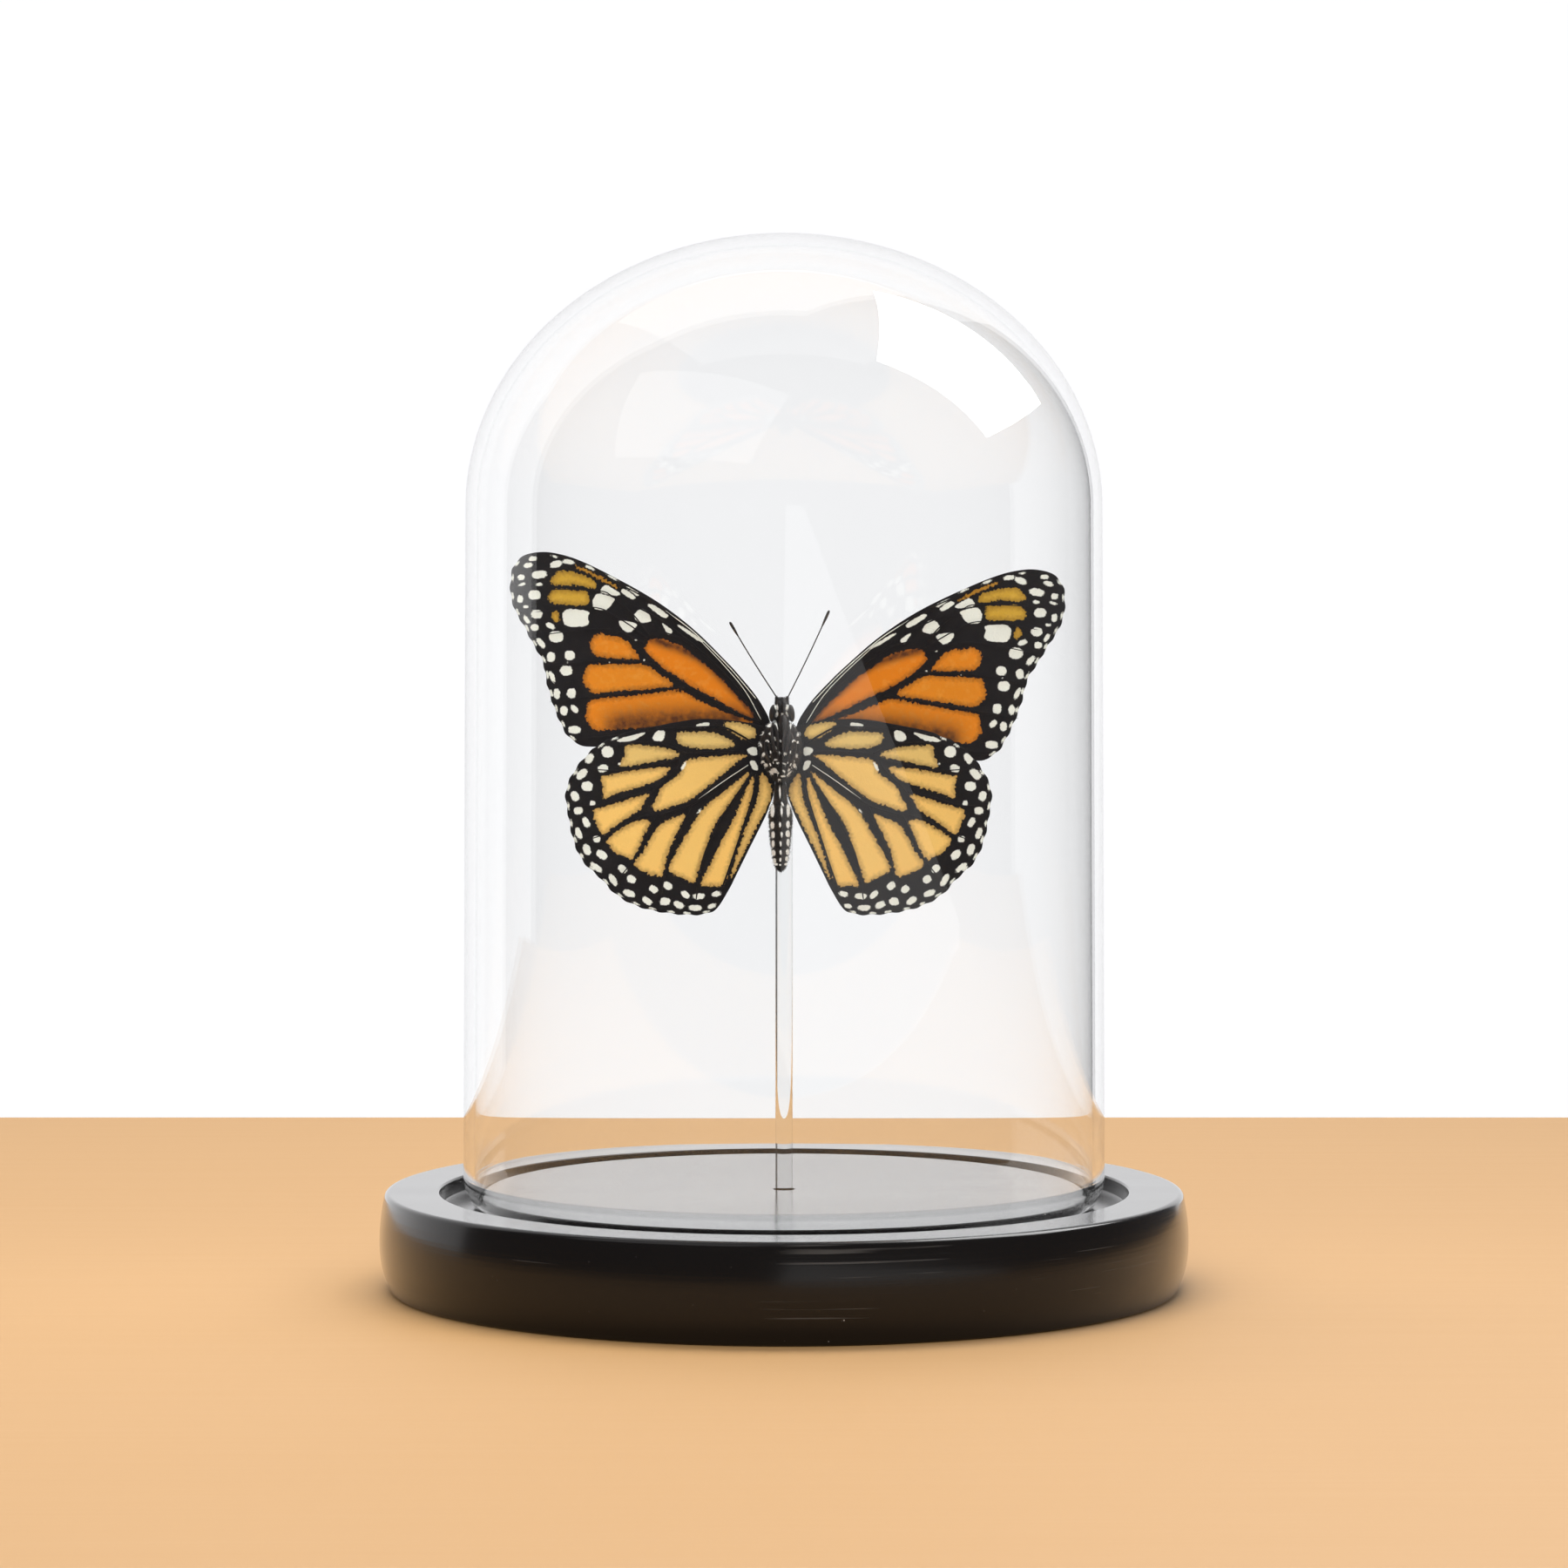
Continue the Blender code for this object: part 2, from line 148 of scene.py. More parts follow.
FOREWING_SPOTS = [                  # across, up, length, width, turn in degrees
    (42.2, 31.8, 1.3, 0.8, 0), (43.0, 30.7, 1.6, 0.8, -10), (44.2, 28.6, 1.2, 1.0, 0),
    (44.1, 27.4, 1.3, 0.5, -20), (44.4, 24.9, 1.3, 1.0, 90), (43.4, 23.6, 0.9, 0.55, 0),
    (43.3, 21.4, 1.5, 0.75, 55), (41.9, 20.0, 1.3, 1.15, 0), (40.8, 17.3, 2.0, 0.9, 52),
    (39.1, 14.9, 1.7, 1.35, 100), (38.9, 11.5, 2.0, 0.8, 68), (38.1, 8.6, 1.7, 1.1, 90),
    (36.9, 5.7, 1.6, 1.2, 90), (35.1, 2.4, 2.1, 1.3, 0),
    (36.1, 31.3, 1.9, 0.8, 10), (38.2, 30.9, 2.1, 1.1, -15), (41.1, 29.1, 2.6, 1.3, -6),
    (41.1, 27.4, 1.1, 0.6, 0), (41.9, 25.6, 2.1, 1.6, 0), (41.5, 22.3, 1.9, 1.5, 0),
    (39.2, 20.3, 1.6, 0.9, 28), (38.2, 18.4, 2.4, 1.9, 0), (35.9, 15.2, 1.75, 1.6, 0),
    (36.5, 12.6, 2.1, 1.7, 0), (35.6, 8.7, 1.7, 1.5, 90), (35.1, 6.0, 1.5, 0.95, 45),
    (38.4, 32.2, 1.0, 0.35, 12), (32.4, 30.3, 1.6, 0.45, 24), (28.6, 28.6, 1.6, 0.35, 28),
    (36.2, 14.0, 0.3, 0.25, 0), (24.6, 17.9, 0.35, 0.25, 0), (23.2, 14.4, 0.35, 0.25, 0),
    (29.1, 14.1, 0.25, 0.2, 0),
]
FOREWING_VEINS = {
    "subcosta": [(3.1, 4.3), (9.6, 13.9), (16.0, 20.4), (24.0, 25.7), (31.0, 29.1)],
    "radius": [(3.4, 4.0), (8.5, 10.9), (14.5, 16.7), (19.5, 19.1), (22.3, 18.6)],
    "radial_stem": [(14.5, 16.9), (20.5, 21.4), (26.4, 24.5)],
    "radius_5": [(22.3, 18.6), (25.0, 22.2), (28.4, 25.2), (31.5, 26.4), (42.5, 26.6)],
    "media_1": [(22.6, 18.3), (27.5, 21.6), (32.2, 23.5), (43.4, 22.5)],
    "media_2": [(23.2, 17.5), (28.4, 19.6), (34.0, 19.6), (42.6, 18.4)],
    "media_3": [(20.9, 13.6), (24.5, 14.2), (31.5, 14.3), (40.3, 13.2)],
    "cubitus_1": [(16.3, 9.8), (23.0, 9.1), (32.0, 8.1), (39.3, 7.2)],
    "cubital_stem": [(3.3, 3.6), (7.5, 5.4), (12.5, 8.2), (17.0, 10.8), (21.0, 13.7), (23.3, 16.5),
                     (23.3, 17.6), (22.3, 18.6)],
    "anal": [(3.7, 3.0), (12.0, 3.3), (22.0, 2.2), (30.0, 1.3), (35.0, 0.9)],
}

FOREWING_DUST = [                   # reach, and the line from which brown scales spread
    (2.7, [(8.0, 4.3), (12.0, 4.0), (17.0, 3.9), (22.5, 3.6), (27.5, 3.0)]),
    (0.9, [(22.6, 18.3), (14.0, 14.9), (7.6, 8.9), (4.4, 4.3), (7.6, 5.4)]),
]
FOREWING_GLINTS = [                 # painted highlights: white lines where the light catches the raised edges near the root
    [(4.2, 7.8), (6.5, 10.6), (9.1, 13.6), (14.6, 19.1), (19.5, 22.9)],
    [(3.3, 4.2), (6.0, 9.1), (9.6, 13.5), (14.5, 18.7)],
]

HINDWING_OUTLINE = [
    (2.3, 2.6), (4.3, 3.3), (7.8, 3.9), (13.8, 4.2), (20.6, 3.1), (26.6, 1.8), (30.7, 0.0),
    (33.5, -2.5), (35.6, -5.5), (36.6, -8.6), (36.2, -12.0), (35.6, -15.3), (34.6, -18.5),
    (33.1, -20.9), (30.6, -23.2), (27.9, -26.0), (24.2, -28.0), (19.3, -29.1),
    (14.2, -29.4), (11.3, -28.6), (9.0, -25.2), (7.4, -22.0), (5.45, -18.0), (3.5, -14.1),
    (2.5, -12.0), (1.9, -10.4), (1.4, -9.0), (1.15, -7.6), (1.1, -6.0), (1.3, -3.5),
    (1.8, 0.0),
]
HINDWING_MARGIN = (5, 19)
HINDWING_CELLS = {                  # name: (tone from pale orange 0 to straw 1, outline)
    "humeral": (0.85, [
        (9.6, 3.6), (7.8, 3.8), (5.2, 3.2), (4.3, 2.4), (4.4, 1.2), (6.4, 0.9), (8.9, 2.6)]),
    "subcostal": (1.0, [
        (17.7, 1.5), (17.0, 2.0), (14.1, 2.1), (11.4, 2.0), (8.9, 1.0), (7.7, -0.2),
        (10.0, -0.7), (14.1, -0.75), (16.4, -0.3), (17.5, 0.4)]),
    "radial": (0.8, [
        (26.4, -0.3), (23.8, -0.2), (21.0, -0.5), (18.5, -1.0), (17.1, -1.9), (18.8, -2.5),
        (21.7, -3.0), (25.2, -3.8), (27.1, -4.0), (27.2, -3.2), (26.5, -1.8)]),
    "discal": (0.3, [
        (16.7, -3.5), (15.6, -2.7), (14.2, -2.4), (6.2, -1.8), (7.3, -3.0), (10.0, -5.3),
        (13.4, -8.1), (15.9, -9.8), (18.1, -10.6), (20.8, -11.5), (21.7, -11.3),
        (21.8, -10.6), (21.0, -9.3), (20.4, -7.7), (18.8, -6.3), (17.0, -4.9)]),
    "media_1": (0.25, [
        (30.5, -5.7), (29.5, -5.4), (25.2, -4.6), (21.0, -4.0), (18.9, -4.1), (19.2, -4.8),
        (21.0, -6.3), (23.8, -7.3), (28.1, -8.6), (30.1, -9.4), (30.2, -7.5)]),
    "media_2": (0.15, [
        (31.9, -11.6), (30.4, -10.9), (27.4, -10.0), (23.8, -8.9), (22.3, -8.6), (23.0, -9.7),
        (23.8, -11.1), (26.4, -12.9), (28.4, -14.3), (30.1, -15.6), (31.2, -14.2)]),
    "media_3": (0.15, [
        (29.6, -16.6), (28.1, -15.2), (25.4, -13.6), (23.6, -13.0), (22.2, -13.4),
        (22.8, -14.9), (23.9, -17.4), (25.2, -19.7), (26.4, -19.5), (28.1, -18.7),
        (28.8, -17.9)]),
    "cubitus_1": (0.15, [
        (24.9, -20.7), (23.4, -18.6), (22.1, -16.1), (20.4, -13.8), (18.1, -12.7),
        (16.2, -12.0), (16.6, -13.3), (18.1, -16.2), (19.3, -19.2), (20.1, -22.6),
        (21.4, -22.6), (23.1, -22.1)]),
    "cubitus_2": (0.2, [
        (19.0, -21.7), (18.3, -19.6), (16.5, -16.4), (14.8, -13.4), (13.6, -11.6),
        (11.8, -9.8), (9.8, -8.4), (5.3, -4.7), (8.0, -9.4), (9.8, -11.8), (11.5, -14.6),
        (12.6, -17.9), (14.1, -22.1), (14.8, -23.9), (16.5, -23.1), (17.8, -22.6)]),
    "anal_1": (0.05, [
        (13.6, -24.1), (12.1, -20.9), (9.8, -16.2), (8.0, -13.0), (5.0, -5.9), (4.6, -7.4),
        (5.7, -11.9), (7.3, -16.9), (8.8, -21.6), (9.8, -24.2), (12.1, -24.4)]),
    "anal_2": (0.35, [
        (3.2, -4.9), (2.4, -5.7), (1.75, -6.9), (1.45, -8.1), (1.7, -9.4), (2.3, -10.9),
        (2.9, -12.1), (3.9, -14.0), (6.2, -18.6), (8.6, -23.4), (7.0, -17.4), (5.5, -13.5),
        (4.7, -11.5), (4.1, -9.9), (3.7, -8.1), (3.55, -6.3)]),
}
HINDWING_PATCHES = [
    [(27.7, 0.6), (25.8, 1.45), (23.1, 2.0), (23.8, 1.3), (25.2, 0.6), (26.9, 0.4)],
    [(21.8, 1.0), (21.0, 2.2), (19.7, 2.2), (20.0, 0.7), (21.0, 0.5)],
    [(14.2, 3.4), (12.3, 3.7), (12.2, 3.1), (13.9, 2.8)],
    [(5.7, -0.9), (4.6, -0.5), (4.0, -0.8), (4.1, -1.9), (5.1, -1.8)],
    [(5.2, -3.0), (4.4, -2.9), (4.0, -3.6), (3.9, -4.4), (4.7, -4.3)],
]
HINDWING_SPOTS = [
    (32.5, -2.5, 1.9, 1.2, -60), (33.8, -5.2, 2.2, 1.3, -45), (35.0, -9.0, 1.75, 1.3, 70),
    (34.4, -11.5, 1.5, 1.3, 0), (34.4, -15.4, 2.0, 1.0, 70), (33.0, -18.2, 2.0, 1.2, 70),
    (31.3, -21.3, 2.3, 0.9, 38), (28.5, -23.4, 2.2, 1.0, 58), (25.8, -25.7, 2.1, 1.1, 20),
    (22.7, -27.0, 1.9, 1.1, 35), (19.7, -27.1, 1.8, 1.3, 0), (17.3, -27.7, 1.8, 1.1, 25),
    (14.5, -28.2, 2.2, 1.0, 0), (11.7, -27.9, 1.4, 0.8, -20),
    (29.4, -1.35, 2.0, 1.9, 0), (30.2, -4.2, 1.7, 1.3, -20), (32.9, -7.3, 1.9, 1.6, 0),
    (32.0, -10.2, 0.9, 0.9, 0), (33.1, -13.5, 1.8, 1.1, 60), (31.3, -16.4, 1.2, 1.1, 0),
    (30.4, -19.1, 2.0, 1.3, 40), (26.9, -21.5, 1.6, 1.2, 40), (25.4, -23.3, 1.5, 1.3, 30),
    (21.6, -25.0, 1.5, 1.2, 30), (19.2, -24.4, 1.6, 1.2, 35), (16.2, -25.9, 1.6, 1.0, 40),
    (13.9, -26.2, 2.0, 1.0, -5), (10.9, -25.8, 1.6, 0.9, -15),
    (16.5, -3.8, 1.5, 0.5, -60), (27.4, -3.4, 0.4, 0.35, 0), (13.8, -11.5, 0.9, 0.3, -50),
]
HINDWING_VEINS = {
    "subcosta": [(4.7, 0.2), (6.9, 1.6), (9.8, 2.9), (14.5, 2.9), (22.0, 2.4), (27.5, 0.9)],
    "radial_stem": [(6.1, -1.35), (9.0, -1.25), (15.0, -1.55), (17.2, -2.2)],
    "radius": [(16.0, -1.6), (18.6, -0.5), (22.5, 0.4), (28.5, -0.2)],
    "media_1": [(17.2, -2.6), (21.0, -3.4), (27.0, -4.5), (34.6, -4.2)],
    "media_2": [(22.0, -8.2), (26.5, -9.2), (31.5, -10.6), (36.0, -10.4)],
    "media_3": [(22.2, -12.2), (25.0, -13.0), (28.5, -15.0), (34.8, -17.2)],
    "cubitus_1": [(21.2, -12.3), (22.5, -14.9), (24.6, -19.4), (28.8, -24.6)],
    "cubitus_2": [(15.1, -10.4), (16.9, -14.5), (19.2, -20.4), (20.8, -28.6)],
    "cubital_stem": [(5.6, -3.8), (9.5, -6.5), (14.5, -10.1), (18.5, -11.6), (22.2, -12.2),
                     (22.8, -10.6), (21.8, -8.2), (19.2, -5.6), (17.6, -3.8), (17.2, -2.4)],
    "anal_1": [(4.7, -4.9), (8.4, -10.2), (11.6, -15.8), (13.4, -20.6), (14.6, -28.4)],
    "anal_2": [(4.1, -5.2), (4.7, -9.0), (6.4, -14.4), (8.6, -21.0), (10.6, -26.6)],
}

# painted highlight: a white line where the light catches the raised vein near the root
HINDWING_GLINTS = [
    [(5.5, -3.6), (9.4, -6.2), (13.9, -9.4)],
]
# ---------------------------------------------------------------- the body's drawing

# Rings of each part of the body, from the top down: up, half width, half depth.
THORAX_RINGS = [
    (3.9, 0.0, 0.0), (3.75, 1.2, 1.1), (3.3, 2.2, 2.0), (2.2, 2.95, 2.6), (0.8, 3.5, 3.0),
    (-1.0, 3.7, 3.1), (-2.6, 3.4, 3.0), (-4.2, 2.65, 2.5), (-5.6, 1.75, 1.9),
    (-6.4, 1.0, 1.2), (-6.75, 0.0, 0.0),
]
HEAD_RINGS = [
    (8.0, 0.0, 0.0), (7.85, 0.7, 0.6), (7.4, 1.0, 1.2), (6.6, 1.15, 1.7), (5.6, 1.3, 1.9),
    (4.7, 1.3, 1.6), (4.0, 1.1, 1.1), (3.7, 0.0, 0.0),
]
HEAD_ASIDE = 0.25                   # how far the head sits to the right of the axis
EYE_ASIDE, EYE_FORWARD, EYE_UP = 1.6, 0.65, 5.35    # from the middle of head and body
ABDOMEN_RINGS = [
    (-6.4, 0.0, 0.0), (-6.7, 0.85, 0.95), (-8.2, 1.1, 1.2), (-9.7, 1.2, 1.4),
    (-11.0, 1.75, 1.75), (-12.3, 2.0, 1.95), (-14.0, 1.95, 1.9), (-15.7, 1.85, 1.8),
    (-17.2, 1.7, 1.65), (-18.7, 1.5, 1.5), (-20.3, 1.2, 1.2), (-21.4, 0.75, 0.75),
    (-22.0, 0.0, 0.0),
]
# White tufts on the front of the thorax and head: x, up, length, width, turn in degrees.
THORAX_TUFTS = [
    (-0.75, 3.25, 1.9, 0.42, -78), (1.7, 3.2, 1.9, 0.36, 76),
    (-2.0, 3.5, 1.0, 0.9, 90), (2.6, 3.3, 0.9, 0.4, 90), (-3.2, 1.9, 0.8, 0.5, 50),
    (-1.7, 1.9, 0.6, 0.5, 0), (-1.0, 1.1, 0.8, 0.3, -75), (0.0, 0.7, 0.45, 0.3, -60),
    (-2.0, 0.4, 0.7, 0.35, -50), (-3.4, 0.0, 0.9, 0.3, -65), (-1.0, -0.4, 0.85, 0.5, -50),
    (-0.3, -1.25, 0.65, 0.4, -45), (0.75, -1.5, 0.7, 0.5, 0), (-1.7, -1.25, 0.5, 0.4, 90),
    (-2.9, -1.65, 0.8, 0.5, 60), (-1.9, -2.0, 0.5, 0.3, 0), (-0.8, -2.5, 0.5, 0.35, 0),
    (-0.5, -3.1, 0.5, 0.3, 0), (0.65, -3.2, 0.7, 0.25, -20), (2.75, -1.9, 0.7, 0.4, 90),
    (2.2, -2.7, 0.5, 0.35, 90), (2.4, -3.6, 0.8, 0.5, 90), (1.6, -4.0, 1.4, 0.35, 60),
    (1.5, -4.9, 1.2, 0.3, 45), (-2.5, -3.5, 0.7, 0.6, 0), (-3.0, -2.9, 0.5, 0.4, 0),
    (-1.15, -4.4, 1.1, 0.9, 0), (-1.6, -4.8, 0.9, 0.4, -40), (-0.45, -4.8, 0.4, 0.4, 0),
    (0.6, -4.5, 0.6, 0.35, -50), (0.45, -5.4, 0.8, 0.35, 0), (3.0, 1.8, 0.8, 0.4, 70),
    (2.9, 0.4, 0.5, 0.35, 40), (1.9, -0.9, 0.45, 0.3, 20), (-0.2, -6.0, 0.5, 0.3, 0),
]
HEAD_TUFTS = [
    (-0.82, 6.4, 1.0, 0.36, -70), (1.22, 6.4, 1.05, 0.36, 78), (-0.55, 5.3, 0.9, 0.34, 80),
    (1.1, 5.25, 0.9, 0.34, -70), (0.3, 5.3, 0.4, 0.35, 0),
]
ABDOMEN_JOINTS = (-10.4, -12.9, -14.6, -16.2, -17.8, -19.2, -20.4)

# The folded forelegs over the throat, a smooth dark band: x, up, depth, half width.
FORELEG_ROUTES = [
    [(0.45, 5.0, 1.9, 0.4), (0.5, 4.4, 2.0, 0.7), (0.6, 3.4, 2.2, 0.82),
     (0.68, 2.4, 2.5, 0.66), (0.8, 1.2, 3.0, 0.3)],
    [(1.2, 2.3, 2.6, 0.35), (1.6, 1.4, 2.6, 0.55), (1.8, 0.3, 2.7, 0.58),
     (1.9, -0.7, 2.85, 0.4), (1.95, -1.5, 3.0, 0.15)],
]

# Folded legs: the frame's routes as (across, up), with each segment's half thickness.
LEG_ROUTES = {
    1: [(0.95, -1.2, 0.27), (1.35, 0.9, 0.3), (1.45, 2.9, 0.22), (0.95, 3.2, 0.24),
        (0.5, 1.2, 0.2), (0.4, -2.6, 0.09)],
    2: [(1.5, -4.0, 0.26), (2.3, -1.7, 0.3), (2.55, 0.4, 0.22), (2.1, 0.7, 0.24),
        (1.65, -1.4, 0.2), (1.2, -3.2, 0.09)],
}


# ---------------------------------------------------------------- what a user may change

def length_setting(name, description, default):
    return FloatProperty(
        name=name, description=description, default=default, subtype="DISTANCE", unit="LENGTH")


def colour_setting(name, description, default):
    return FloatVectorProperty(
        name=name, description=description, default=default, subtype="COLOR", min=0, max=1)


class HolderSettings(bpy.types.PropertyGroup):
    belly_radius: length_setting(
        "Belly radius", "Widest radius of the base", BASE_HIGH.x)
    groove_inner: length_setting(
        "Groove inner radius", "Radius of the raised disc inside the groove", 52.2 * MM)
    groove_outer: length_setting(
        "Groove outer radius", "Radius of the groove's outer wall", 59.6 * MM)
    groove_depth: length_setting(
        "Groove depth", "Depth of the groove below the top", 3.0 * MM)
    paint: colour_setting(
        "Paint", "Colour of the base's paint", (0.005, 0.0045, 0.0045))
    wall: length_setting(
        "Glass thickness", "Thickness of the dome's wall", 2.0 * MM)
    shoulder: length_setting(
        "Shoulder height", "Height at which the dome's crown begins", 135.0 * MM)
    shoulder_radius: length_setting(
        "Shoulder radius", "Outer radius of the dome at its shoulder", 54.8 * MM)
    turns: IntProperty(
        name="Turning steps", description="Steps round each turned piece",
        default=192, min=24, max=256)


class WingSettings(bpy.types.PropertyGroup):
    pitch: FloatProperty(
        name="Mesh pitch", description="Spacing of the wings' mesh, in millimetres",
        default=0.19, min=0.1, max=1.0)
    thickness: length_setting(
        "Membrane thickness", "Thickness of a wing", 0.12 * MM)
    forewing: colour_setting(
        "Forewing orange", "Colour of the forewing's cells, underneath", (0.75, 0.215, 0.004))
    forewing_apex: colour_setting(
        "Forewing ochre", "Colour of the forewing's cells near its tip", (0.60, 0.36, 0.035))
    hindwing: colour_setting(
        "Hindwing pale orange", "Colour of the hindwing's cells, underneath", (0.92, 0.57, 0.155))
    hindwing_front: colour_setting(
        "Hindwing straw", "Colour of the hindwing's foremost cells", (0.74, 0.53, 0.18))
    upperside: colour_setting(
        "Upperside orange", "Colour of all the cells on the wings' backs", (0.70, 0.19, 0.012))
    dust: colour_setting(
        "Dust", "Colour of the brown scales scattered over the cells' edges", (0.09, 0.028, 0.006))
    ground: colour_setting(
        "Ground", "Colour of the wings' black parts", (0.005, 0.0038, 0.0042))
    # also the colour of the painted highlight lines near the wings' roots
    spot: colour_setting(
        "Spots", "Colour of the white spots", (0.84, 0.86, 0.78))


class BodySettings(bpy.types.PropertyGroup):
    hairs: IntProperty(
        name="Thorax hairs", description="Number of hairs on the thorax",
        default=5200, min=100, max=20000)
    black: colour_setting(
        "Black", "Colour of the body's black scales", (0.007, 0.006, 0.006))
    white: colour_setting(
        "White", "Colour of the body's white tufts", (0.97, 0.97, 0.93))


class StageSettings(bpy.types.PropertyGroup):
    floor: colour_setting(
        "Floor", "Colour of the floor", (0.34, 0.195, 0.077))
    backdrop: colour_setting(
        "Backdrop", "Colour and brightness of the backdrop", (0.985, 0.985, 1.0))
    backdrop_glow: FloatProperty(
        name="Backdrop glow", description="Strength of the light that the backdrop gives",
        default=1.02, min=0)
    floor_back: length_setting(
        "Back of floor", "Distance from the rod to the floor's back edge", 262.0 * MM)
    camera_height: length_setting(
        "Camera height", "Height of the camera above the floor", 129.5 * MM)
    camera_distance: length_setting(
        "Camera distance", "Distance of the camera in front of the rod", 893.0 * MM)
    camera_tilt: FloatProperty(
        name="Camera tilt", description="Angle by which the camera looks down",
        default=math.radians(2.71), subtype="ANGLE")


# ---------------------------------------------------------------- small tools

def deselect_all():
    if bpy.context.mode != "OBJECT":
        bpy.ops.object.mode_set(mode="OBJECT")
    bpy.ops.object.select_all(action="DESELECT")


def pick(piece):
    deselect_all()
    piece.select_set(True)
    bpy.context.view_layer.objects.active = piece


def named(name):
    """Name the piece that a primitive operator has just added."""
    piece = bpy.context.object
    piece.name = name
    piece.data.name = name
    return piece


def add_piece(name, data):
    piece = bpy.data.objects.new(name, data)
    bpy.context.scene.collection.objects.link(piece)
    return piece


def apply_place(piece):
    pick(piece)
    bpy.ops.object.transform_apply(location=True, rotation=True, scale=True)


def face_outwards(piece):
    pick(piece)
    bpy.ops.object.mode_set(mode="EDIT")
    bpy.ops.mesh.select_all(action="SELECT")
    bpy.ops.mesh.normals_make_consistent(inside=False)
    bpy.ops.object.mode_set(mode="OBJECT")


def weld(piece):
    """Join a piece's coinciding points, and face its surface outwards."""
    pick(piece)
    bpy.ops.object.mode_set(mode="EDIT")
    bpy.ops.mesh.select_all(action="SELECT")
    bpy.ops.mesh.remove_doubles(threshold=SAME_PLACE)
    bpy.ops.object.mode_set(mode="OBJECT")
    face_outwards(piece)


def smooth_shading(piece, angle=None):
    pick(piece)
    if angle is None:
        bpy.ops.object.shade_smooth()
    else:
        bpy.ops.object.shade_smooth_by_angle(angle=math.radians(angle))


def join_pieces(pieces, name):
    deselect_all()
    for piece in pieces:
        piece.select_set(True)
    bpy.context.view_layer.objects.active = pieces[0]
    bpy.ops.object.join()
    return named(name)


def settle(piece, material, slot, *nodes):
    """Give a finished piece its finish, its body and the frame's nodes it stands for."""
    piece.data.materials.clear()
    piece.data.materials.append(material)
    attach(piece, BODY)
    if nodes:
        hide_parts(*nodes)


def held(profile):
    """A profile with points added near the ends of its long straight runs, to shade flat."""
    points = [profile[0]]
    for (r1, z1), (r2, z2) in zip(profile, profile[1:]):
        length = math.hypot(r2 - r1, z2 - z1)
        if length > 2.5 * MM:
            near = 0.2 * MM / length
            points += [(r1 + (r2 - r1) * share, z1 + (z2 - z1) * share)
                       for share in (near, 1 - near)]
        points.append((r2, z2))
    return points


def turn_profile(name, profile, steps):
    """Spin a profile of (radius, height) points, whose ends are on the axis, into a solid."""
    profile = held(profile)
    deselect_all()
    bpy.ops.mesh.primitive_circle_add(vertices=len(profile), radius=10 * MM)
    piece = named(name)
    for vert, (radius, height) in zip(piece.data.vertices, profile):
        vert.co = (radius, 0.0, height)
    bpy.context.tool_settings.mesh_select_mode = (False, True, False)
    for edge in piece.data.edges:
        edge.select = all(piece.data.vertices[i].co.x < ON_AXIS for i in edge.vertices)
    for vert in piece.data.vertices:
        vert.select = vert.co.x < ON_AXIS
    bpy.ops.object.mode_set(mode="EDIT")
    bpy.ops.mesh.delete(type="EDGE")
    bpy.ops.mesh.select_all(action="SELECT")
    bpy.ops.mesh.spin(steps=steps, angle=math.tau, center=(0, 0, 0), axis=(0, 0, 1))
    bpy.ops.object.mode_set(mode="OBJECT")
    weld(piece)
    smooth_shading(piece, 40)
    return piece


def arc(centre, radius, start, end, steps):
    """Points of an arc about (radius, height), from one angle to the other, in degrees."""
    points = []
    for step in range(steps + 1):
        angle = math.radians(start + (end - start) * step / steps)
        points.append((centre[0] + radius * math.cos(angle), centre[1] + radius * math.sin(angle)))
    return points


def curve_through(points, steps, closed):
    """Points along the Catmull-Rom curve through rows of numbers."""
    points = np.asarray(points, float)
    if closed:
        padded = np.vstack((points[-1:], points, points[:2]))
    else:
        padded = np.vstack((2 * points[0] - points[1], points, 2 * points[-1] - points[-2]))
    t = (np.arange(steps) / steps)[:, None]
    rows = []
    for a, b, c, d in zip(padded, padded[1:], padded[2:], padded[3:]):
        rows.append(0.5 * (2 * b + (c - a) * t + (2 * a - 5 * b + 4 * c - d) * t ** 2
                           + (3 * b - a - 3 * c + d) * t ** 3))
    if not closed:
        rows.append(points[-1:])
    return np.vstack(rows)


def add_tubes(name, routes, sides=8):
    """Round tubes along routes of (x, y, z, radius) rows, each a closed mesh."""
    curve = bpy.data.curves.new(name, "CURVE")
    curve.dimensions = "3D"
    curve.bevel_depth = 1.0 * MM
    curve.bevel_resolution = sides // 2 - 2
    curve.use_fill_caps = True
    for route in routes:
        spline = curve.splines.new("POLY")
        spline.points.add(len(route) - 1)
        for item, (x, y, z, radius) in zip(spline.points, route):
            item.co = (x, y, z, 1.0)
            item.radius = radius / curve.bevel_depth
    pick(add_piece(name, curve))
    bpy.ops.object.convert(target="MESH")
    piece = named(name)
    weld(piece)
    smooth_shading(piece)
    return piece


def set_values(mesh, name, values):
    """Store one number for each point of a mesh."""
    attribute = mesh.attributes.get(name) or mesh.attributes.new(name, "FLOAT", "POINT")
    attribute.data.foreach_set("value", np.asarray(values, np.float32))


def read_points(mesh):
    points = np.empty(len(mesh.vertices) * 3)
    mesh.vertices.foreach_get("co", points)
    return points.reshape(-1, 3)


def write_points(mesh, points):
    mesh.vertices.foreach_set("co", np.asarray(points, float).ravel())
    mesh.update()


# ---------------------------------------------------------------- distances in a drawing

def nearest_on(points, line):
    """The nearest place to each point on a line of points, and how far away it is."""
    least = np.full(len(points), np.inf)
    places = points.copy()
    for a, b in zip(line, line[1:]):
        along = b - a
        share = np.clip((points - a) @ along / max(along @ along, 1e-9), 0, 1)
        place = a + share[:, None] * along
        gap = ((points - place) ** 2).sum(axis=1)
        nearer = gap < least
        least[nearer] = gap[nearer]
        places[nearer] = place[nearer]
    return places, np.sqrt(least)


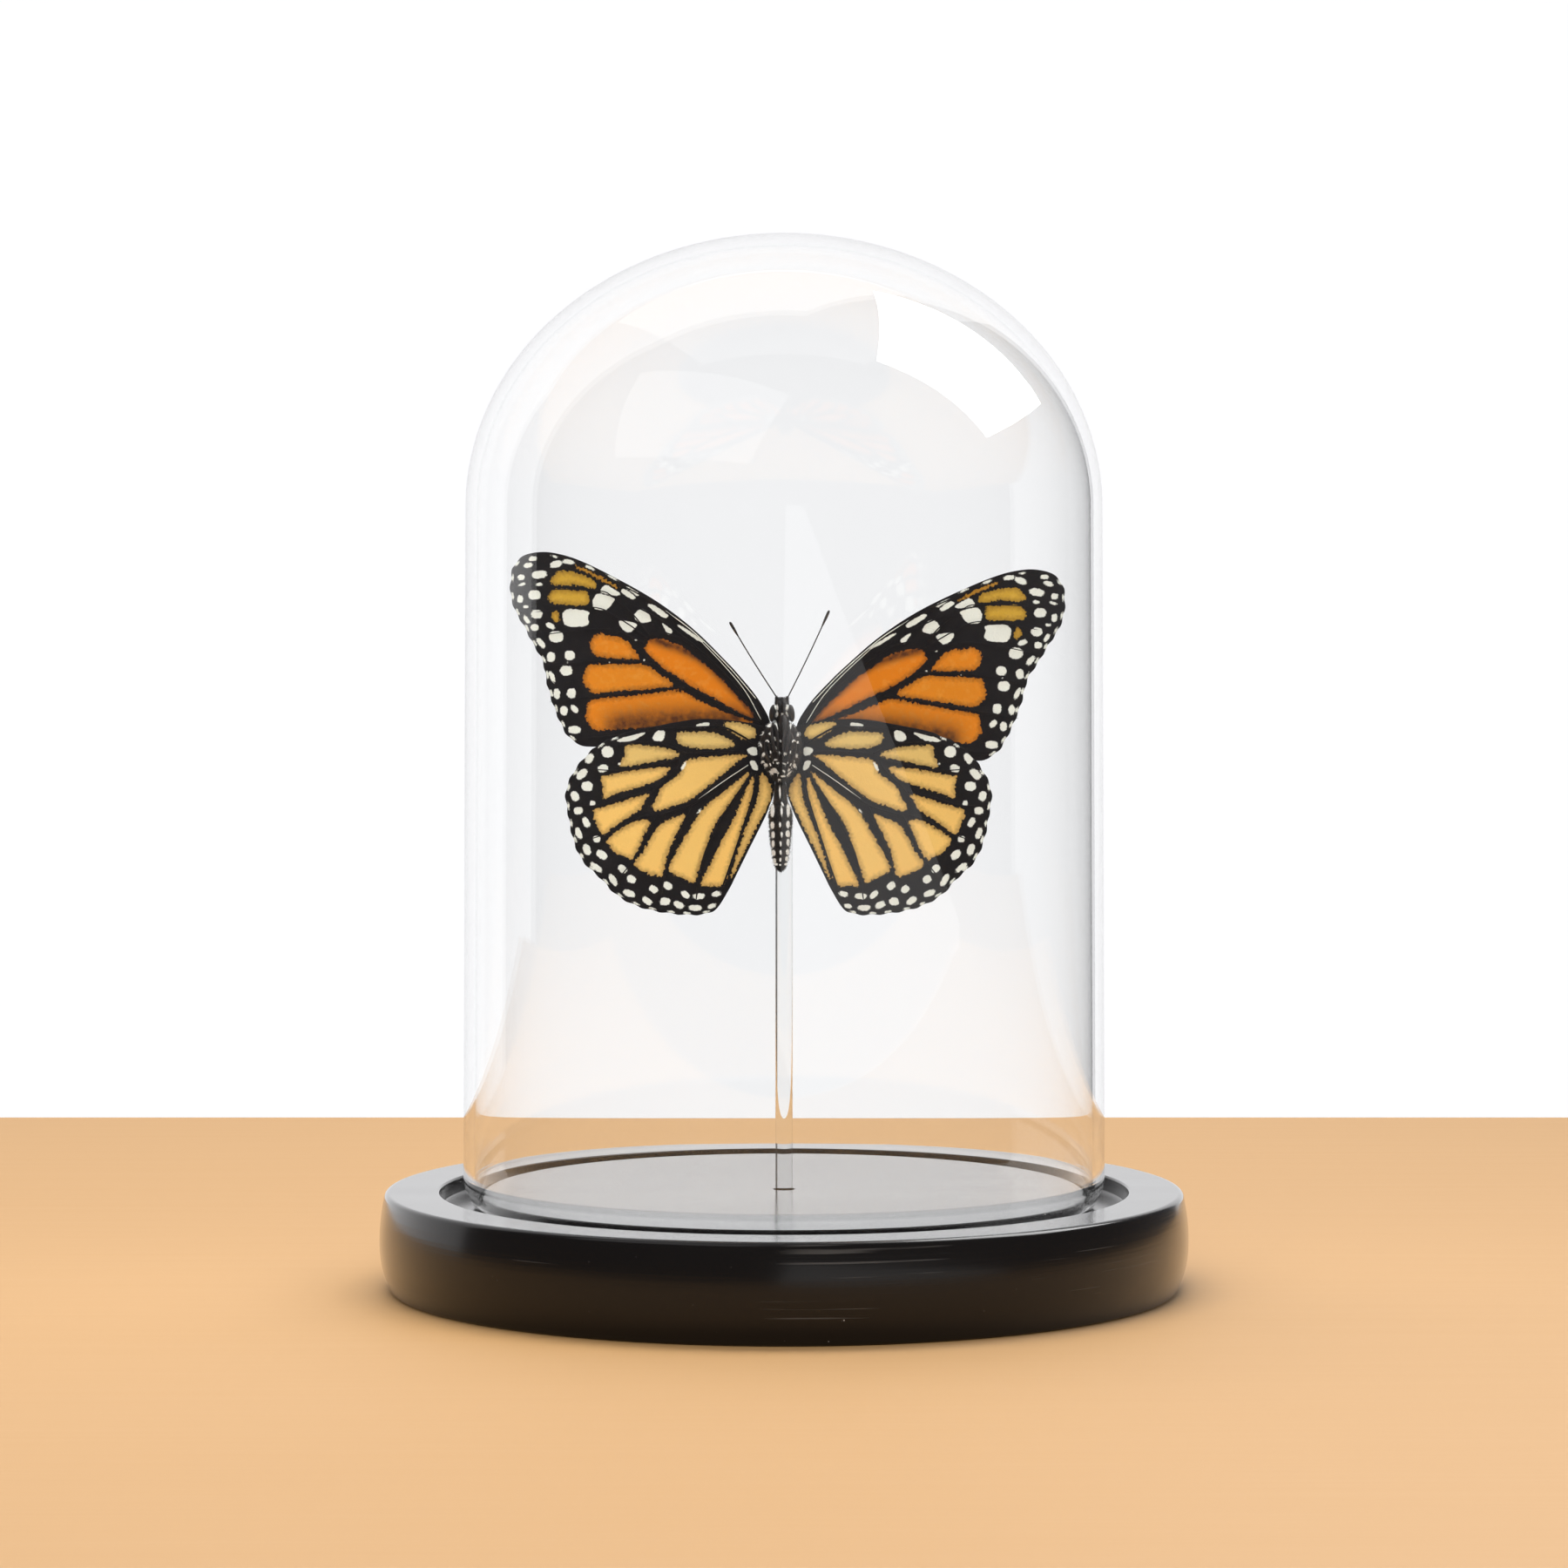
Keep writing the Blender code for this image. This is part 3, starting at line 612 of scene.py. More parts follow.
def inside(points, outline):
    """Which points lie inside a closed outline."""
    x, y = points.T
    within = np.zeros(len(points), bool)
    for (x1, y1), (x2, y2) in zip(outline, np.roll(outline, -1, axis=0)):
        if y1 != y2:
            within ^= ((y1 > y) != (y2 > y)) & (x < x1 + (y - y1) * (x2 - x1) / (y2 - y1))
    return within


def shape_distance(points, outline):
    """Distance to a closed outline, negative inside it."""
    closed = np.vstack((outline, outline[:1]))
    distance = nearest_on(points, closed)[1]
    return np.where(inside(points, outline), -distance, distance)


def spot_distance(points, spots):
    """Rough distance to the nearest of some oval spots, negative inside."""
    best = np.full(len(points), FAR)
    for x, y, length, width, turn in spots:
        angle = math.radians(turn)
        offset = points - (x, y)
        along = offset @ (math.cos(angle), math.sin(angle))
        aside = offset @ (-math.sin(angle), math.cos(angle))
        reach = ((np.abs(along) / (0.5 * length)) ** 2.4
                 + (np.abs(aside) / (0.5 * width)) ** 2.4) ** (1 / 2.4)
        best = np.minimum(best, (reach - 1) * 0.5 * min(length, width))
    return best


def scalloped(outline, margin):
    """A wing's edge, waved along its margin, and a dash for the valley of each wave."""
    steps = 8
    line = curve_through(outline, steps, closed=True)
    gaps = np.linalg.norm(np.roll(line, -1, axis=0) - line, axis=1)
    run = np.cumsum(gaps) - gaps
    heading = np.roll(line, -1, axis=0) - np.roll(line, 1, axis=0)
    heading /= np.linalg.norm(heading, axis=1)[:, None]
    first, last = (run[index * steps] for index in margin)
    waves = round((last - first) / SCALLOP)
    phase = np.clip((run - first) / (last - first), 0, 1) * waves
    dip = 0.5 - 0.5 * np.cos(math.tau * phase)
    outward = np.column_stack((-heading[:, 1], heading[:, 0]))
    dashes = []
    for wave in range(waves):
        spot = np.argmin(np.abs(phase - wave - 0.5))
        x, y = line[spot] - 0.3 * outward[spot]
        turn = math.degrees(math.atan2(heading[spot, 1], heading[spot, 0]))
        dashes.append((x, y, 1.15, 0.42, turn))
    return line + (0.12 - 0.26 * dip[:, None]) * outward, dashes


# ---------------------------------------------------------------- finishes

class Finish:
    """A node material, with short ways to add to it and wire it."""

    def __init__(self, name, **values):
        self.material = bpy.data.materials.new(name)
        self.material.use_nodes = True
        self.tree = self.material.node_tree
        self.shader = self.tree.nodes["Principled BSDF"]
        for key, value in values.items():
            self.put(self.shader.inputs[key.replace("_", " ")], value)
        self.place = self.node("TexCoord").outputs["Object"]

    def put(self, socket, value):
        if isinstance(value, bpy.types.NodeSocket):
            self.tree.links.new(value, socket)
        elif hasattr(value, "__len__") and len(value) == 3 and socket.type == "RGBA":
            socket.default_value = (*value, 1.0)
        else:
            socket.default_value = value

    def node(self, kind, inputs=None, **settings):
        node = self.tree.nodes.new("ShaderNode" + kind)
        for key, value in settings.items():
            setattr(node, key, value)
        for key, value in (inputs or {}).items():
            self.put(node.inputs[key], value)
        return node

    def value(self, name):
        """A number stored on the mesh's points."""
        return self.node("Attribute", attribute_name=name).outputs["Fac"]

    def math(self, operation, first, second=0.0, third=0.0):
        inputs = {0: first, 1: second, 2: third}
        return self.node("Math", inputs, operation=operation).outputs[0]

    def step(self, value, start, end):
        """0 at start and 1 at end, eased between them."""
        inputs = {"Value": value, "From Min": start, "From Max": end}
        return self.node("MapRange", inputs, interpolation_type="SMOOTHSTEP").outputs[0]

    def spread(self, value, low, high):
        """A 0 to 1 value spread over another range."""
        inputs = {"Value": value, "To Min": low, "To Max": high}
        return self.node("MapRange", inputs).outputs[0]

    def mix(self, share, first, second):
        return self.node("Mix", {0: share, 6: first, 7: second}, data_type="RGBA").outputs[2]

    def noise(self, scale, detail=2.0, stretch=(1, 1, 1)):
        place = self.node("Mapping", {"Vector": self.place, "Scale": stretch}).outputs[0]
        inputs = {"Vector": place, "Scale": scale, "Detail": detail}
        return self.node("TexNoise", inputs).outputs["Fac"]

    def specks(self, scale, size, share):
        """Small dots, in only a share of the cells of a random pattern."""
        cells = self.node("TexVoronoi", {"Vector": self.place, "Scale": scale})
        chosen = self.node("SeparateColor", {0: cells.outputs["Color"]}).outputs[0]
        dot = self.step(cells.outputs["Distance"], size, 0.4 * size)
        return self.math("MULTIPLY", dot, self.math("LESS_THAN", chosen, share))

    def bump(self, height, depth, under=None):
        inputs = {"Height": height, "Distance": depth, "Strength": 1.0}
        if under is not None:
            inputs["Normal"] = under
        return self.node("Bump", inputs).outputs[0]

    def shade(self, name, value):
        self.put(self.shader.inputs[name], value)


def paint_finish(colour):
    """Satin black paint on turned wood, with faint grain, brush lines and dust."""
    finish = Finish("Satin black paint", Coat_Weight=1.0, Coat_Roughness=0.15, Coat_IOR=1.25,
                    IOR=1.25)
    dust = finish.specks(420, 0.075, 0.06)
    fine_dust = finish.specks(1300, 0.09, 0.04)
    dust = finish.math("MAXIMUM", dust, finish.math("MULTIPLY", fine_dust, 0.5))
    x, y, z = finish.node("SeparateXYZ", {0: finish.place}).outputs
    around = finish.math("ARCTAN2", y, x)
    level = finish.node("CombineXYZ", {0: x, 1: y}).outputs[0]
    radius = finish.node("VectorMath", {0: level}, operation="LENGTH").outputs["Value"]
    round_place = finish.node("CombineXYZ", {0: around, 1: z, 2: radius}).outputs[0]
    inputs = {"Vector": round_place, "Scale": (1.6, 1500, 300)}
    streaks = finish.node("Mapping", inputs).outputs[0]
    inputs = {"Vector": streaks, "Scale": 1.0, "Detail": 3.0}
    streaks = finish.node("TexNoise", inputs).outputs["Fac"]
    patches = finish.step(finish.noise(28, 2), 0.50, 0.62)
    wall = finish.step(radius, BASE_HIGH.x - 1.8 * MM, BASE_HIGH.x - 1.0 * MM)
    worn = finish.math("MULTIPLY", finish.step(streaks, 0.60, 0.72), wall)
    worn = finish.math("MULTIPLY", worn, patches)
    tint = finish.mix(finish.math("MULTIPLY", worn, 0.7), colour, (0.060, 0.058, 0.056))
    finish.shade("Base Color", finish.mix(dust, tint, (0.22, 0.21, 0.20)))
    smears = finish.noise(38, 4, (0.2, 1, 1))
    finish.shade("Roughness", finish.spread(finish.step(smears, 0.3, 0.7), 0.19, 0.24))
    normal = finish.bump(finish.math("MULTIPLY", streaks, wall), 0.00003)
    grain = finish.noise(700, 2, (0.03, 1, 1))
    finish.shade("Normal", finish.bump(grain, 0.000004, normal))
    return finish.material


def glass_finish(name, tint, ripple):
    """Clear glass, very slightly uneven from having been blown or drawn."""
    finish = Finish(name, Base_Color=tint, Roughness=0.0, IOR=1.46, Transmission_Weight=1.0)
    finish.shade("Normal", finish.bump(finish.noise(26, 1, (1, 1, 0.35)), ripple))
    return finish.material


def wing_finish(name, orange, tip, settings):
    """Scales in orange cells, white spots, painted white highlight lines and black, sorted out by
    the mesh's own values.
    """
    finish = Finish(name, Sheen_Weight=0.03, Sheen_Roughness=0.5, Specular_IOR_Level=0.2)
    fringe = finish.noise(7500, 1)
    patchy = finish.noise(900, 3)
    ragged = finish.math("MULTIPLY_ADD", fringe, 0.30, -0.15)
    teeth = finish.math("MULTIPLY_ADD", finish.noise(2100, 1), 1.0, -0.5)
    upperside = finish.value("upperside")

    cell_gap = finish.math("ADD", finish.value("cell"), finish.math("ADD", ragged, teeth))
    tone = finish.value("tone")
    under = finish.mix(tone, orange, tip)
    cells = finish.mix(upperside, under, settings.upperside)
    paler = finish.mix(0.12, cells, (0.92, 0.60, 0.15))
    cells = finish.mix(finish.step(patchy, 0.45, 0.75), cells, paler)
    dusk = finish.math("MULTIPLY", finish.value("dust"), finish.spread(patchy, 0.45, 1.4))
    edge = finish.math("MULTIPLY", finish.step(cell_gap, -1.1, 0.0), 0.45)
    dusk = finish.math("MAXIMUM", dusk, edge)
    cells = finish.mix(dusk, cells, settings.dust)

    flecks = finish.specks(5200, 0.35, 0.05)
    ground = finish.mix(finish.math("MULTIPLY", flecks, 0.5), settings.ground, (0.09, 0.07, 0.055))
    colour = finish.mix(finish.step(cell_gap, 0.06, -0.06), ground, cells)

    ragged = finish.math("MULTIPLY_ADD", teeth, 0.35, ragged)
    # below zero: the white spots, and the painted highlight lines along the glint tubes
    spot_and_glint_gap = finish.math("MULTIPLY_ADD", ragged, 0.8, finish.value("spot"))
    spots = finish.mix(finish.step(fringe, 0.5, 0.9), settings.spot, (0.62, 0.66, 0.60))
    colour = finish.mix(finish.step(spot_and_glint_gap, 0.07, -0.07), colour, spots)
    ridge = finish.value("ridge")
    finish.shade("Base Color", finish.mix(ridge, colour, settings.ground))

    finish.shade("Roughness", finish.spread(ridge, 0.62, 0.38))
    scales = finish.node("TexVoronoi", {"Vector": finish.place, "Scale": 7000}).outputs["Distance"]
    normal = finish.bump(scales, 0.00003)
    finish.shade("Normal", finish.bump(patchy, 0.00010, normal))
    return finish.material


def body_finish(name, settings, roughness=0.62):
    """Black scales with white tufts, sorted out by the mesh's own values."""
    finish = Finish(name, Sheen_Weight=0.0, Specular_IOR_Level=0.4)
    fringe = finish.noise(6000, 2)
    ragged = finish.math("MULTIPLY_ADD", fringe, 0.20, -0.10)
    gap = finish.math("ADD", finish.value("tuft"), ragged)
    worn = finish.step(finish.noise(1100, 2), 0.45, 0.8)
    brown = finish.mix(worn, settings.black, (0.030, 0.020, 0.014))
    dirty = finish.mix(finish.step(fringe, 0.55, 0.9), settings.white, (0.60, 0.60, 0.55))
    finish.shade("Base Color", finish.mix(finish.step(gap, 0.06, -0.06), brown, dirty))
    finish.shade("Roughness", finish.spread(fringe, roughness - 0.1, roughness + 0.1))
    finish.shade("Normal", finish.bump(finish.noise(5200, 2, (1, 1, 0.35)), 0.00008))
    return finish.material


def shell_finish(name, settings):
    """Smooth dark shell: eyes, antennae and legs, with pale lines where the mesh says so."""
    finish = Finish(name, Coat_Weight=0.2, Coat_Roughness=0.15)
    fringe = finish.noise(6500, 2)
    ragged = finish.math("MULTIPLY_ADD", fringe, 0.10, -0.05)
    gap = finish.math("ADD", finish.value("tuft"), ragged)
    dark = finish.mix(finish.step(fringe, 0.4, 0.8), settings.black, (0.030, 0.022, 0.017))
    finish.shade("Base Color", finish.mix(finish.step(gap, 0.03, -0.03), dark, settings.white))
    finish.shade("Roughness", finish.spread(fringe, 0.26, 0.46))
    finish.shade("Normal", finish.bump(finish.noise(9000, 1, (1, 1, 2)), 0.000012))
    return finish.material


# ---------------------------------------------------------------- holder

class BUTTERFLY_OT_base(bpy.types.Operator):
    """Turn the black base, with a groove for the dome and a hole for the rod"""
    bl_idname = "butterfly.base"
    bl_label = "Base"

    def execute(self, context):
        settings = context.scene.butterfly_holder
        belly = settings.belly_radius
        low, top = BASE_LOW.z, BASE_HIGH.z
        foot = low + 0.9 * MM
        floor = top - settings.groove_depth
        inner, outer = settings.groove_inner, settings.groove_outer
        hole = ROD_HIGH.x + ROD_GAP
        hole_floor = ROD_LOW.z - ROD_GAP

        def side(height):
            lean = (height - 0.5 * top) / (0.5 * top)
            return belly - 1.1 * MM * lean ** 2 - 1.2 * MM * max(0.0, -lean) ** 3

        profile = [(0.0, low), (side(foot) - 1.2 * MM, low)]
        profile += arc((side(foot) - 0.9 * MM, foot), 0.9 * MM, -75, -15, 4)
        for step in range(1, 12):
            height = foot + (top - 1.0 * MM - foot) * step / 12
            profile.append((side(height), height))
        rim = side(top - 1.0 * MM) - 0.95 * MM
        profile += arc((rim, top - 0.95 * MM), 0.95 * MM, 10, 90, 7)
        profile += arc((outer + 0.4 * MM, top - 0.4 * MM), 0.4 * MM, 90, 180, 5)
        profile += arc((outer - 0.5 * MM, floor + 0.5 * MM), 0.5 * MM, 0, -90, 4)
        profile += arc((inner + 0.5 * MM, floor + 0.5 * MM), 0.5 * MM, -90, -180, 4)
        profile += arc((inner - 0.4 * MM, top - 0.4 * MM), 0.4 * MM, 0, 90, 5)
        profile += arc((hole + 0.25 * MM, top - 0.25 * MM), 0.25 * MM, 90, 180, 4)
        profile += [(hole, hole_floor), (0.0, hole_floor)]
        base = turn_profile("Base", profile, settings.turns)
        settle(base, paint_finish(settings.paint), "black_paint", "base")
        return {"FINISHED"}


class BUTTERFLY_OT_dome(bpy.types.Operator):
    """Turn the glass dome, a shell whose rim curls inwards"""
    bl_idname = "butterfly.dome"
    bl_label = "Glass dome"

    def execute(self, context):
        settings = context.scene.butterfly_holder
        wall = settings.wall
        shoulder, radius = settings.shoulder, settings.shoulder_radius
        crown = DOME_HIGH.z - shoulder
        low = DOME_LOW.z
        foot = DOME_HIGH.x
        curl = low + 5.2 * MM

        def quarter(width, height):
            points = []
            for step in range(49):
                angle = 0.5 * math.pi * step / 48
                points.append((width * math.sin(angle), shoulder + height * math.cos(angle)))
            return points

        outside = quarter(radius, crown)
        inside_wall = quarter(radius - wall, crown - wall)
        for step in range(1, 9):
            height = shoulder + (curl - shoulder) * step / 8
            width = radius + (foot - radius) * step / 8
            outside.append((width, height))
            inside_wall.append((width - wall, height))
        curled = [
            (foot, curl), (foot - 0.12 * MM, low + 4.1 * MM), (foot - 0.5 * MM, low + 2.6 * MM),
            (foot - 1.1 * MM, low + 1.3 * MM), (foot - 1.7 * MM, low + 0.55 * MM),
            (foot - 2.3 * MM, low), (foot - 2.95 * MM, low + 0.45 * MM),
            (foot - 2.85 * MM, low + 1.6 * MM), (foot - 2.3 * MM, low + 3.4 * MM),
            (foot - wall, curl),
        ]
        rim = [tuple(point) for point in curve_through(curled, 3, closed=False)]
        profile = outside[:-1] + rim + inside_wall[::-1][1:]
        dome = turn_profile("Dome", profile, settings.turns)
        finish = glass_finish("Dome glass", (0.997, 1.0, 0.998), 0.00002)
        settle(dome, finish, "dome_glass", "dome")
        dome.visible_shadow = False
        return {"FINISHED"}


class BUTTERFLY_OT_rod(bpy.types.Operator):
    """Turn the clear rod, with its ends slightly rounded"""
    bl_idname = "butterfly.rod"
    bl_label = "Clear rod"

    def execute(self, context):
        low, high, radius = ROD_LOW.z, ROD_HIGH.z, ROD_HIGH.x
        round_end = 0.12 * MM
        profile = [(0.0, low)]
        profile += arc((radius - round_end, low + round_end), round_end, -90, 0, 4)
        profile += arc((radius - round_end, high - round_end), round_end, 0, 90, 4)
        profile.append((0.0, high))
        rod = turn_profile("Rod", profile, 96)
        settle(rod, glass_finish("Rod glass", (0.97, 0.98, 0.98), 0.00001), "rod_glass", "rod")
        rod.visible_shadow = False
        return {"FINISHED"}


# ---------------------------------------------------------------- wings

def wing_depth(across, up, root):
    """Depth in millimetres of the middle of a wing, which is swept back and barely arched."""
    arch = 0.45 * np.sin(np.pi * np.clip(across / 44, 0, 1)) ** 2
    ripple = 0.10 * np.sin(0.42 * across + 0.3 * up) * np.clip(across / 20, 0, 1)
    return root + across * WING_SWEEP - arch + ripple


def draw_wing(name, outline, margin, cells, patches, spots, veins, dust, root, pitch):
    """Make a wing flat in (across, up) millimetres, with its drawing stored on its points."""
    edge, dashes = scalloped(outline, margin)
    low, high = edge.min(axis=0), edge.max(axis=0)
    steps = np.ceil((high - low) / pitch).astype(int)
    deselect_all()
    bpy.ops.mesh.primitive_grid_add(
        x_subdivisions=int(steps[0]), y_subdivisions=int(steps[1]), size=2)
    wing = named(name)
    points = read_points(wing.data)
    points[:, :2] = 0.5 * (low + high) + 0.5 * (high - low) * points[:, :2]
    write_points(wing.data, points)
    outside = shape_distance(points[:, :2], edge) > 0.45 * pitch
    bpy.context.tool_settings.mesh_select_mode = (True, False, False)
    bpy.ops.object.mode_set(mode="EDIT")
    bpy.ops.mesh.select_all(action="DESELECT")
    bpy.ops.object.mode_set(mode="OBJECT")
    wing.data.vertices.foreach_set("select", outside)
    bpy.ops.object.mode_set(mode="EDIT")
    bpy.ops.mesh.delete(type="VERT")
    bpy.ops.mesh.select_all(action="SELECT")
    bpy.ops.mesh.region_to_loop()
    bpy.ops.object.mode_set(mode="OBJECT")
    border = np.empty(len(wing.data.vertices), bool)
    wing.data.vertices.foreach_get("select", border)
    points = read_points(wing.data)
    closed = np.vstack((edge, edge[:1]))
    points[border, :2] = nearest_on(points[border, :2], closed)[0]

    flat = points[:, :2]
    cell = np.full(len(flat), FAR)
    tone = np.zeros(len(flat))
    for cell_tone, cell_outline in cells.values():
        shape = curve_through(cell_outline, 4, closed=True)
        distance = shape_distance(flat, shape)
        tone[distance < cell] = cell_tone
        cell = np.minimum(cell, distance)
    spot = spot_distance(flat, spots + dashes)
    for patch in patches:
        spot = np.minimum(spot, shape_distance(flat, curve_through(patch, 4, closed=True)))
    vein = np.full(len(flat), FAR)
    for route in veins.values():
        vein = np.minimum(vein, nearest_on(flat, curve_through(route, 6, closed=False))[1])
    set_values(wing.data, "cell", cell)
    set_values(wing.data, "spot", spot)
    set_values(wing.data, "tone", tone)
    set_values(wing.data, "ridge", np.zeros(len(flat)))
    cloud = np.zeros(len(flat))
    for reach, route in dust:
        gap = nearest_on(flat, curve_through(route, 6, closed=False))[1]
        cloud = np.maximum(cloud, np.exp(-(gap / reach) ** 2))
    set_values(wing.data, "dust", cloud)
    across, up = flat.T
    points[:, 2] = wing_depth(across, up, root) - 0.10 * np.exp(-(vein / 0.5) ** 2)
    write_points(wing.data, points)
    return wing


def vein_tubes(name, veins, root, rise, thick, taper):
    """Tapering tubes along veins, in millimetres and flat like the wings."""
    routes = []
    for route in veins:
        line = curve_through(route, 8, closed=False)
        run = np.linalg.norm(line - line[0], axis=1)
        across, up = line.T
        depth = wing_depth(across, up, root) - rise
        radius = thick - taper * np.clip(across / 36, 0, 1)
        radius *= np.clip((run.max() - run) / 2.5, 0.25, 1)
        routes.append(np.column_stack((across, up, depth, radius)))
    return add_tubes(name, routes)


def place_wing(flat, name, side, turn, shift, stretch):
    """Copy a flat wing to its side of the body, upright and in metres."""
    pick(flat)
    bpy.ops.object.duplicate()
    wing = named(name)
    points = read_points(wing.data)
    hinge = FOREWING_HINGE
    offset = points[:, :2] - hinge
    cosine, sine = math.cos(-turn), math.sin(-turn)
    across = hinge[0] + cosine * offset[:, 0] - sine * offset[:, 1] + shift[0]
    up = hinge[1] + sine * offset[:, 0] + cosine * offset[:, 1] + shift[1]
    x = BODY_X + side * stretch * across * MM
    write_points(wing.data, np.column_stack((x, points[:, 2] * MM, BODY_Z + up * MM)))
    return wing


def make_wings(kind, drawing, root, colours):
    """Make the left and right wings of one kind from the same drawing."""
    settings = bpy.context.scene.butterfly_wings
    outline, margin, cells, patches, spots, veins, dust, glints = drawing
    title = kind.capitalize()
    sheet = draw_wing(
        title, outline, margin, cells, patches, spots, veins, dust, root, settings.pitch)
    tubes = vein_tubes(title + "_veins", veins.values(), root, 0.10, 0.21, 0.11)
    # thin tubes along the glint lines, painted white as highlights
    lines = vein_tubes(title + "_glints", glints, root, 0.27, 0.07, 0.0)
    finish = wing_finish(title + " scales", *colours, settings)
    for side_name, side in (("left", -1), ("right", 1)):
        node = kind + "_" + side_name
        wing = place_wing(sheet, title + "_" + side_name, side, *WING_SETS[node])
        pick(wing)
        bpy.ops.object.modifier_add(type="SOLIDIFY")
        solidify = wing.modifiers[-1]
        solidify.thickness = settings.thickness
        solidify.offset = 0.0
        bpy.ops.object.modifier_apply(modifier=solidify.name)
        face_outwards(wing)
        normals = np.empty(len(wing.data.vertices) * 3)
        wing.data.vertices.foreach_get("normal", normals)
        set_values(wing.data, "upperside", normals.reshape(-1, 3)[:, 1] > 0)
        parts = [wing]
        # the glint tubes get spot -1, which paints them in the white spot colour as highlights
        for source, spot, ridge in ((tubes, FAR, 1.0), (lines, -1.0, 0.0)):
            raised = place_wing(source, source.name + "_" + side_name, side, *WING_SETS[node])
            face_outwards(raised)
            count = len(raised.data.vertices)
            for label, value in (("cell", FAR), ("spot", spot), ("ridge", ridge)):
                set_values(raised.data, label, np.full(count, value))
            parts.append(raised)
        wing = join_pieces(parts, title + "_" + side_name)
        smooth_shading(wing)
        settle(wing, finish, kind + "_scales", node)
    for source in (sheet, tubes, lines):
        bpy.data.objects.remove(source)


class BUTTERFLY_OT_forewings(bpy.types.Operator):
    """Make the two forewings with their scales and veins"""
    bl_idname = "butterfly.forewings"
    bl_label = "Forewings"

    def execute(self, context):
        settings = context.scene.butterfly_wings
        drawing = (FOREWING_OUTLINE, FOREWING_MARGIN, FOREWING_CELLS, FOREWING_PATCHES,
                   FOREWING_SPOTS, FOREWING_VEINS, FOREWING_DUST, FOREWING_GLINTS)
        colours = (settings.forewing, settings.forewing_apex)
        make_wings("forewing", drawing, FOREWING_Y, colours)
        return {"FINISHED"}


class BUTTERFLY_OT_hindwings(bpy.types.Operator):
    """Make the two hindwings with their scales and veins"""
    bl_idname = "butterfly.hindwings"
    bl_label = "Hindwings"

    def execute(self, context):
        settings = context.scene.butterfly_wings
        drawing = (HINDWING_OUTLINE, HINDWING_MARGIN, HINDWING_CELLS, HINDWING_PATCHES,
                   HINDWING_SPOTS, HINDWING_VEINS, [], HINDWING_GLINTS)
        colours = (settings.hindwing, settings.hindwing_front)
        make_wings("hindwing", drawing, HINDWING_Y, colours)
        return {"FINISHED"}


# ---------------------------------------------------------------- body

def ringed(name, rings, middle_y, joints=(), segments=72, rows=72, aside=0.0):
    """A rounded solid through a stack of ovals, pinched slightly at its joints."""
    deselect_all()
    bpy.ops.mesh.primitive_uv_sphere_add(segments=segments, ring_count=rows, radius=1)
    piece = named(name)
    points = read_points(piece.data)
    share = np.arccos(np.clip(points[:, 2], -1, 1)) / np.pi * (len(rings) - 1)
    line = curve_through(rings, 12, closed=False)
    position = share * 12
    up, width, depth = (np.interp(position, np.arange(len(line)), row) for row in line.T)
    around = np.arctan2(points[:, 1], points[:, 0])
    pinch = np.ones(len(points))
    for joint in joints:
        pinch -= 0.07 * np.exp(-((up - joint) / 0.16) ** 2)
    x = BODY_X + (aside + np.maximum(width, 0) * pinch * np.cos(around)) * MM
    y = middle_y + np.maximum(depth, 0) * pinch * np.sin(around) * MM
    write_points(piece.data, np.column_stack((x, y, BODY_Z + up * MM)))
    weld(piece)
    smooth_shading(piece)
    return piece


def front_plan(points, middle_y):
    """Points seen from the front in millimetres, with those round the back moved far away."""
    plan = np.column_stack(((points[:, 0] - BODY_X) / MM, (points[:, 2] - BODY_Z) / MM))
    plan[points[:, 1] > middle_y] += 50
    return plan


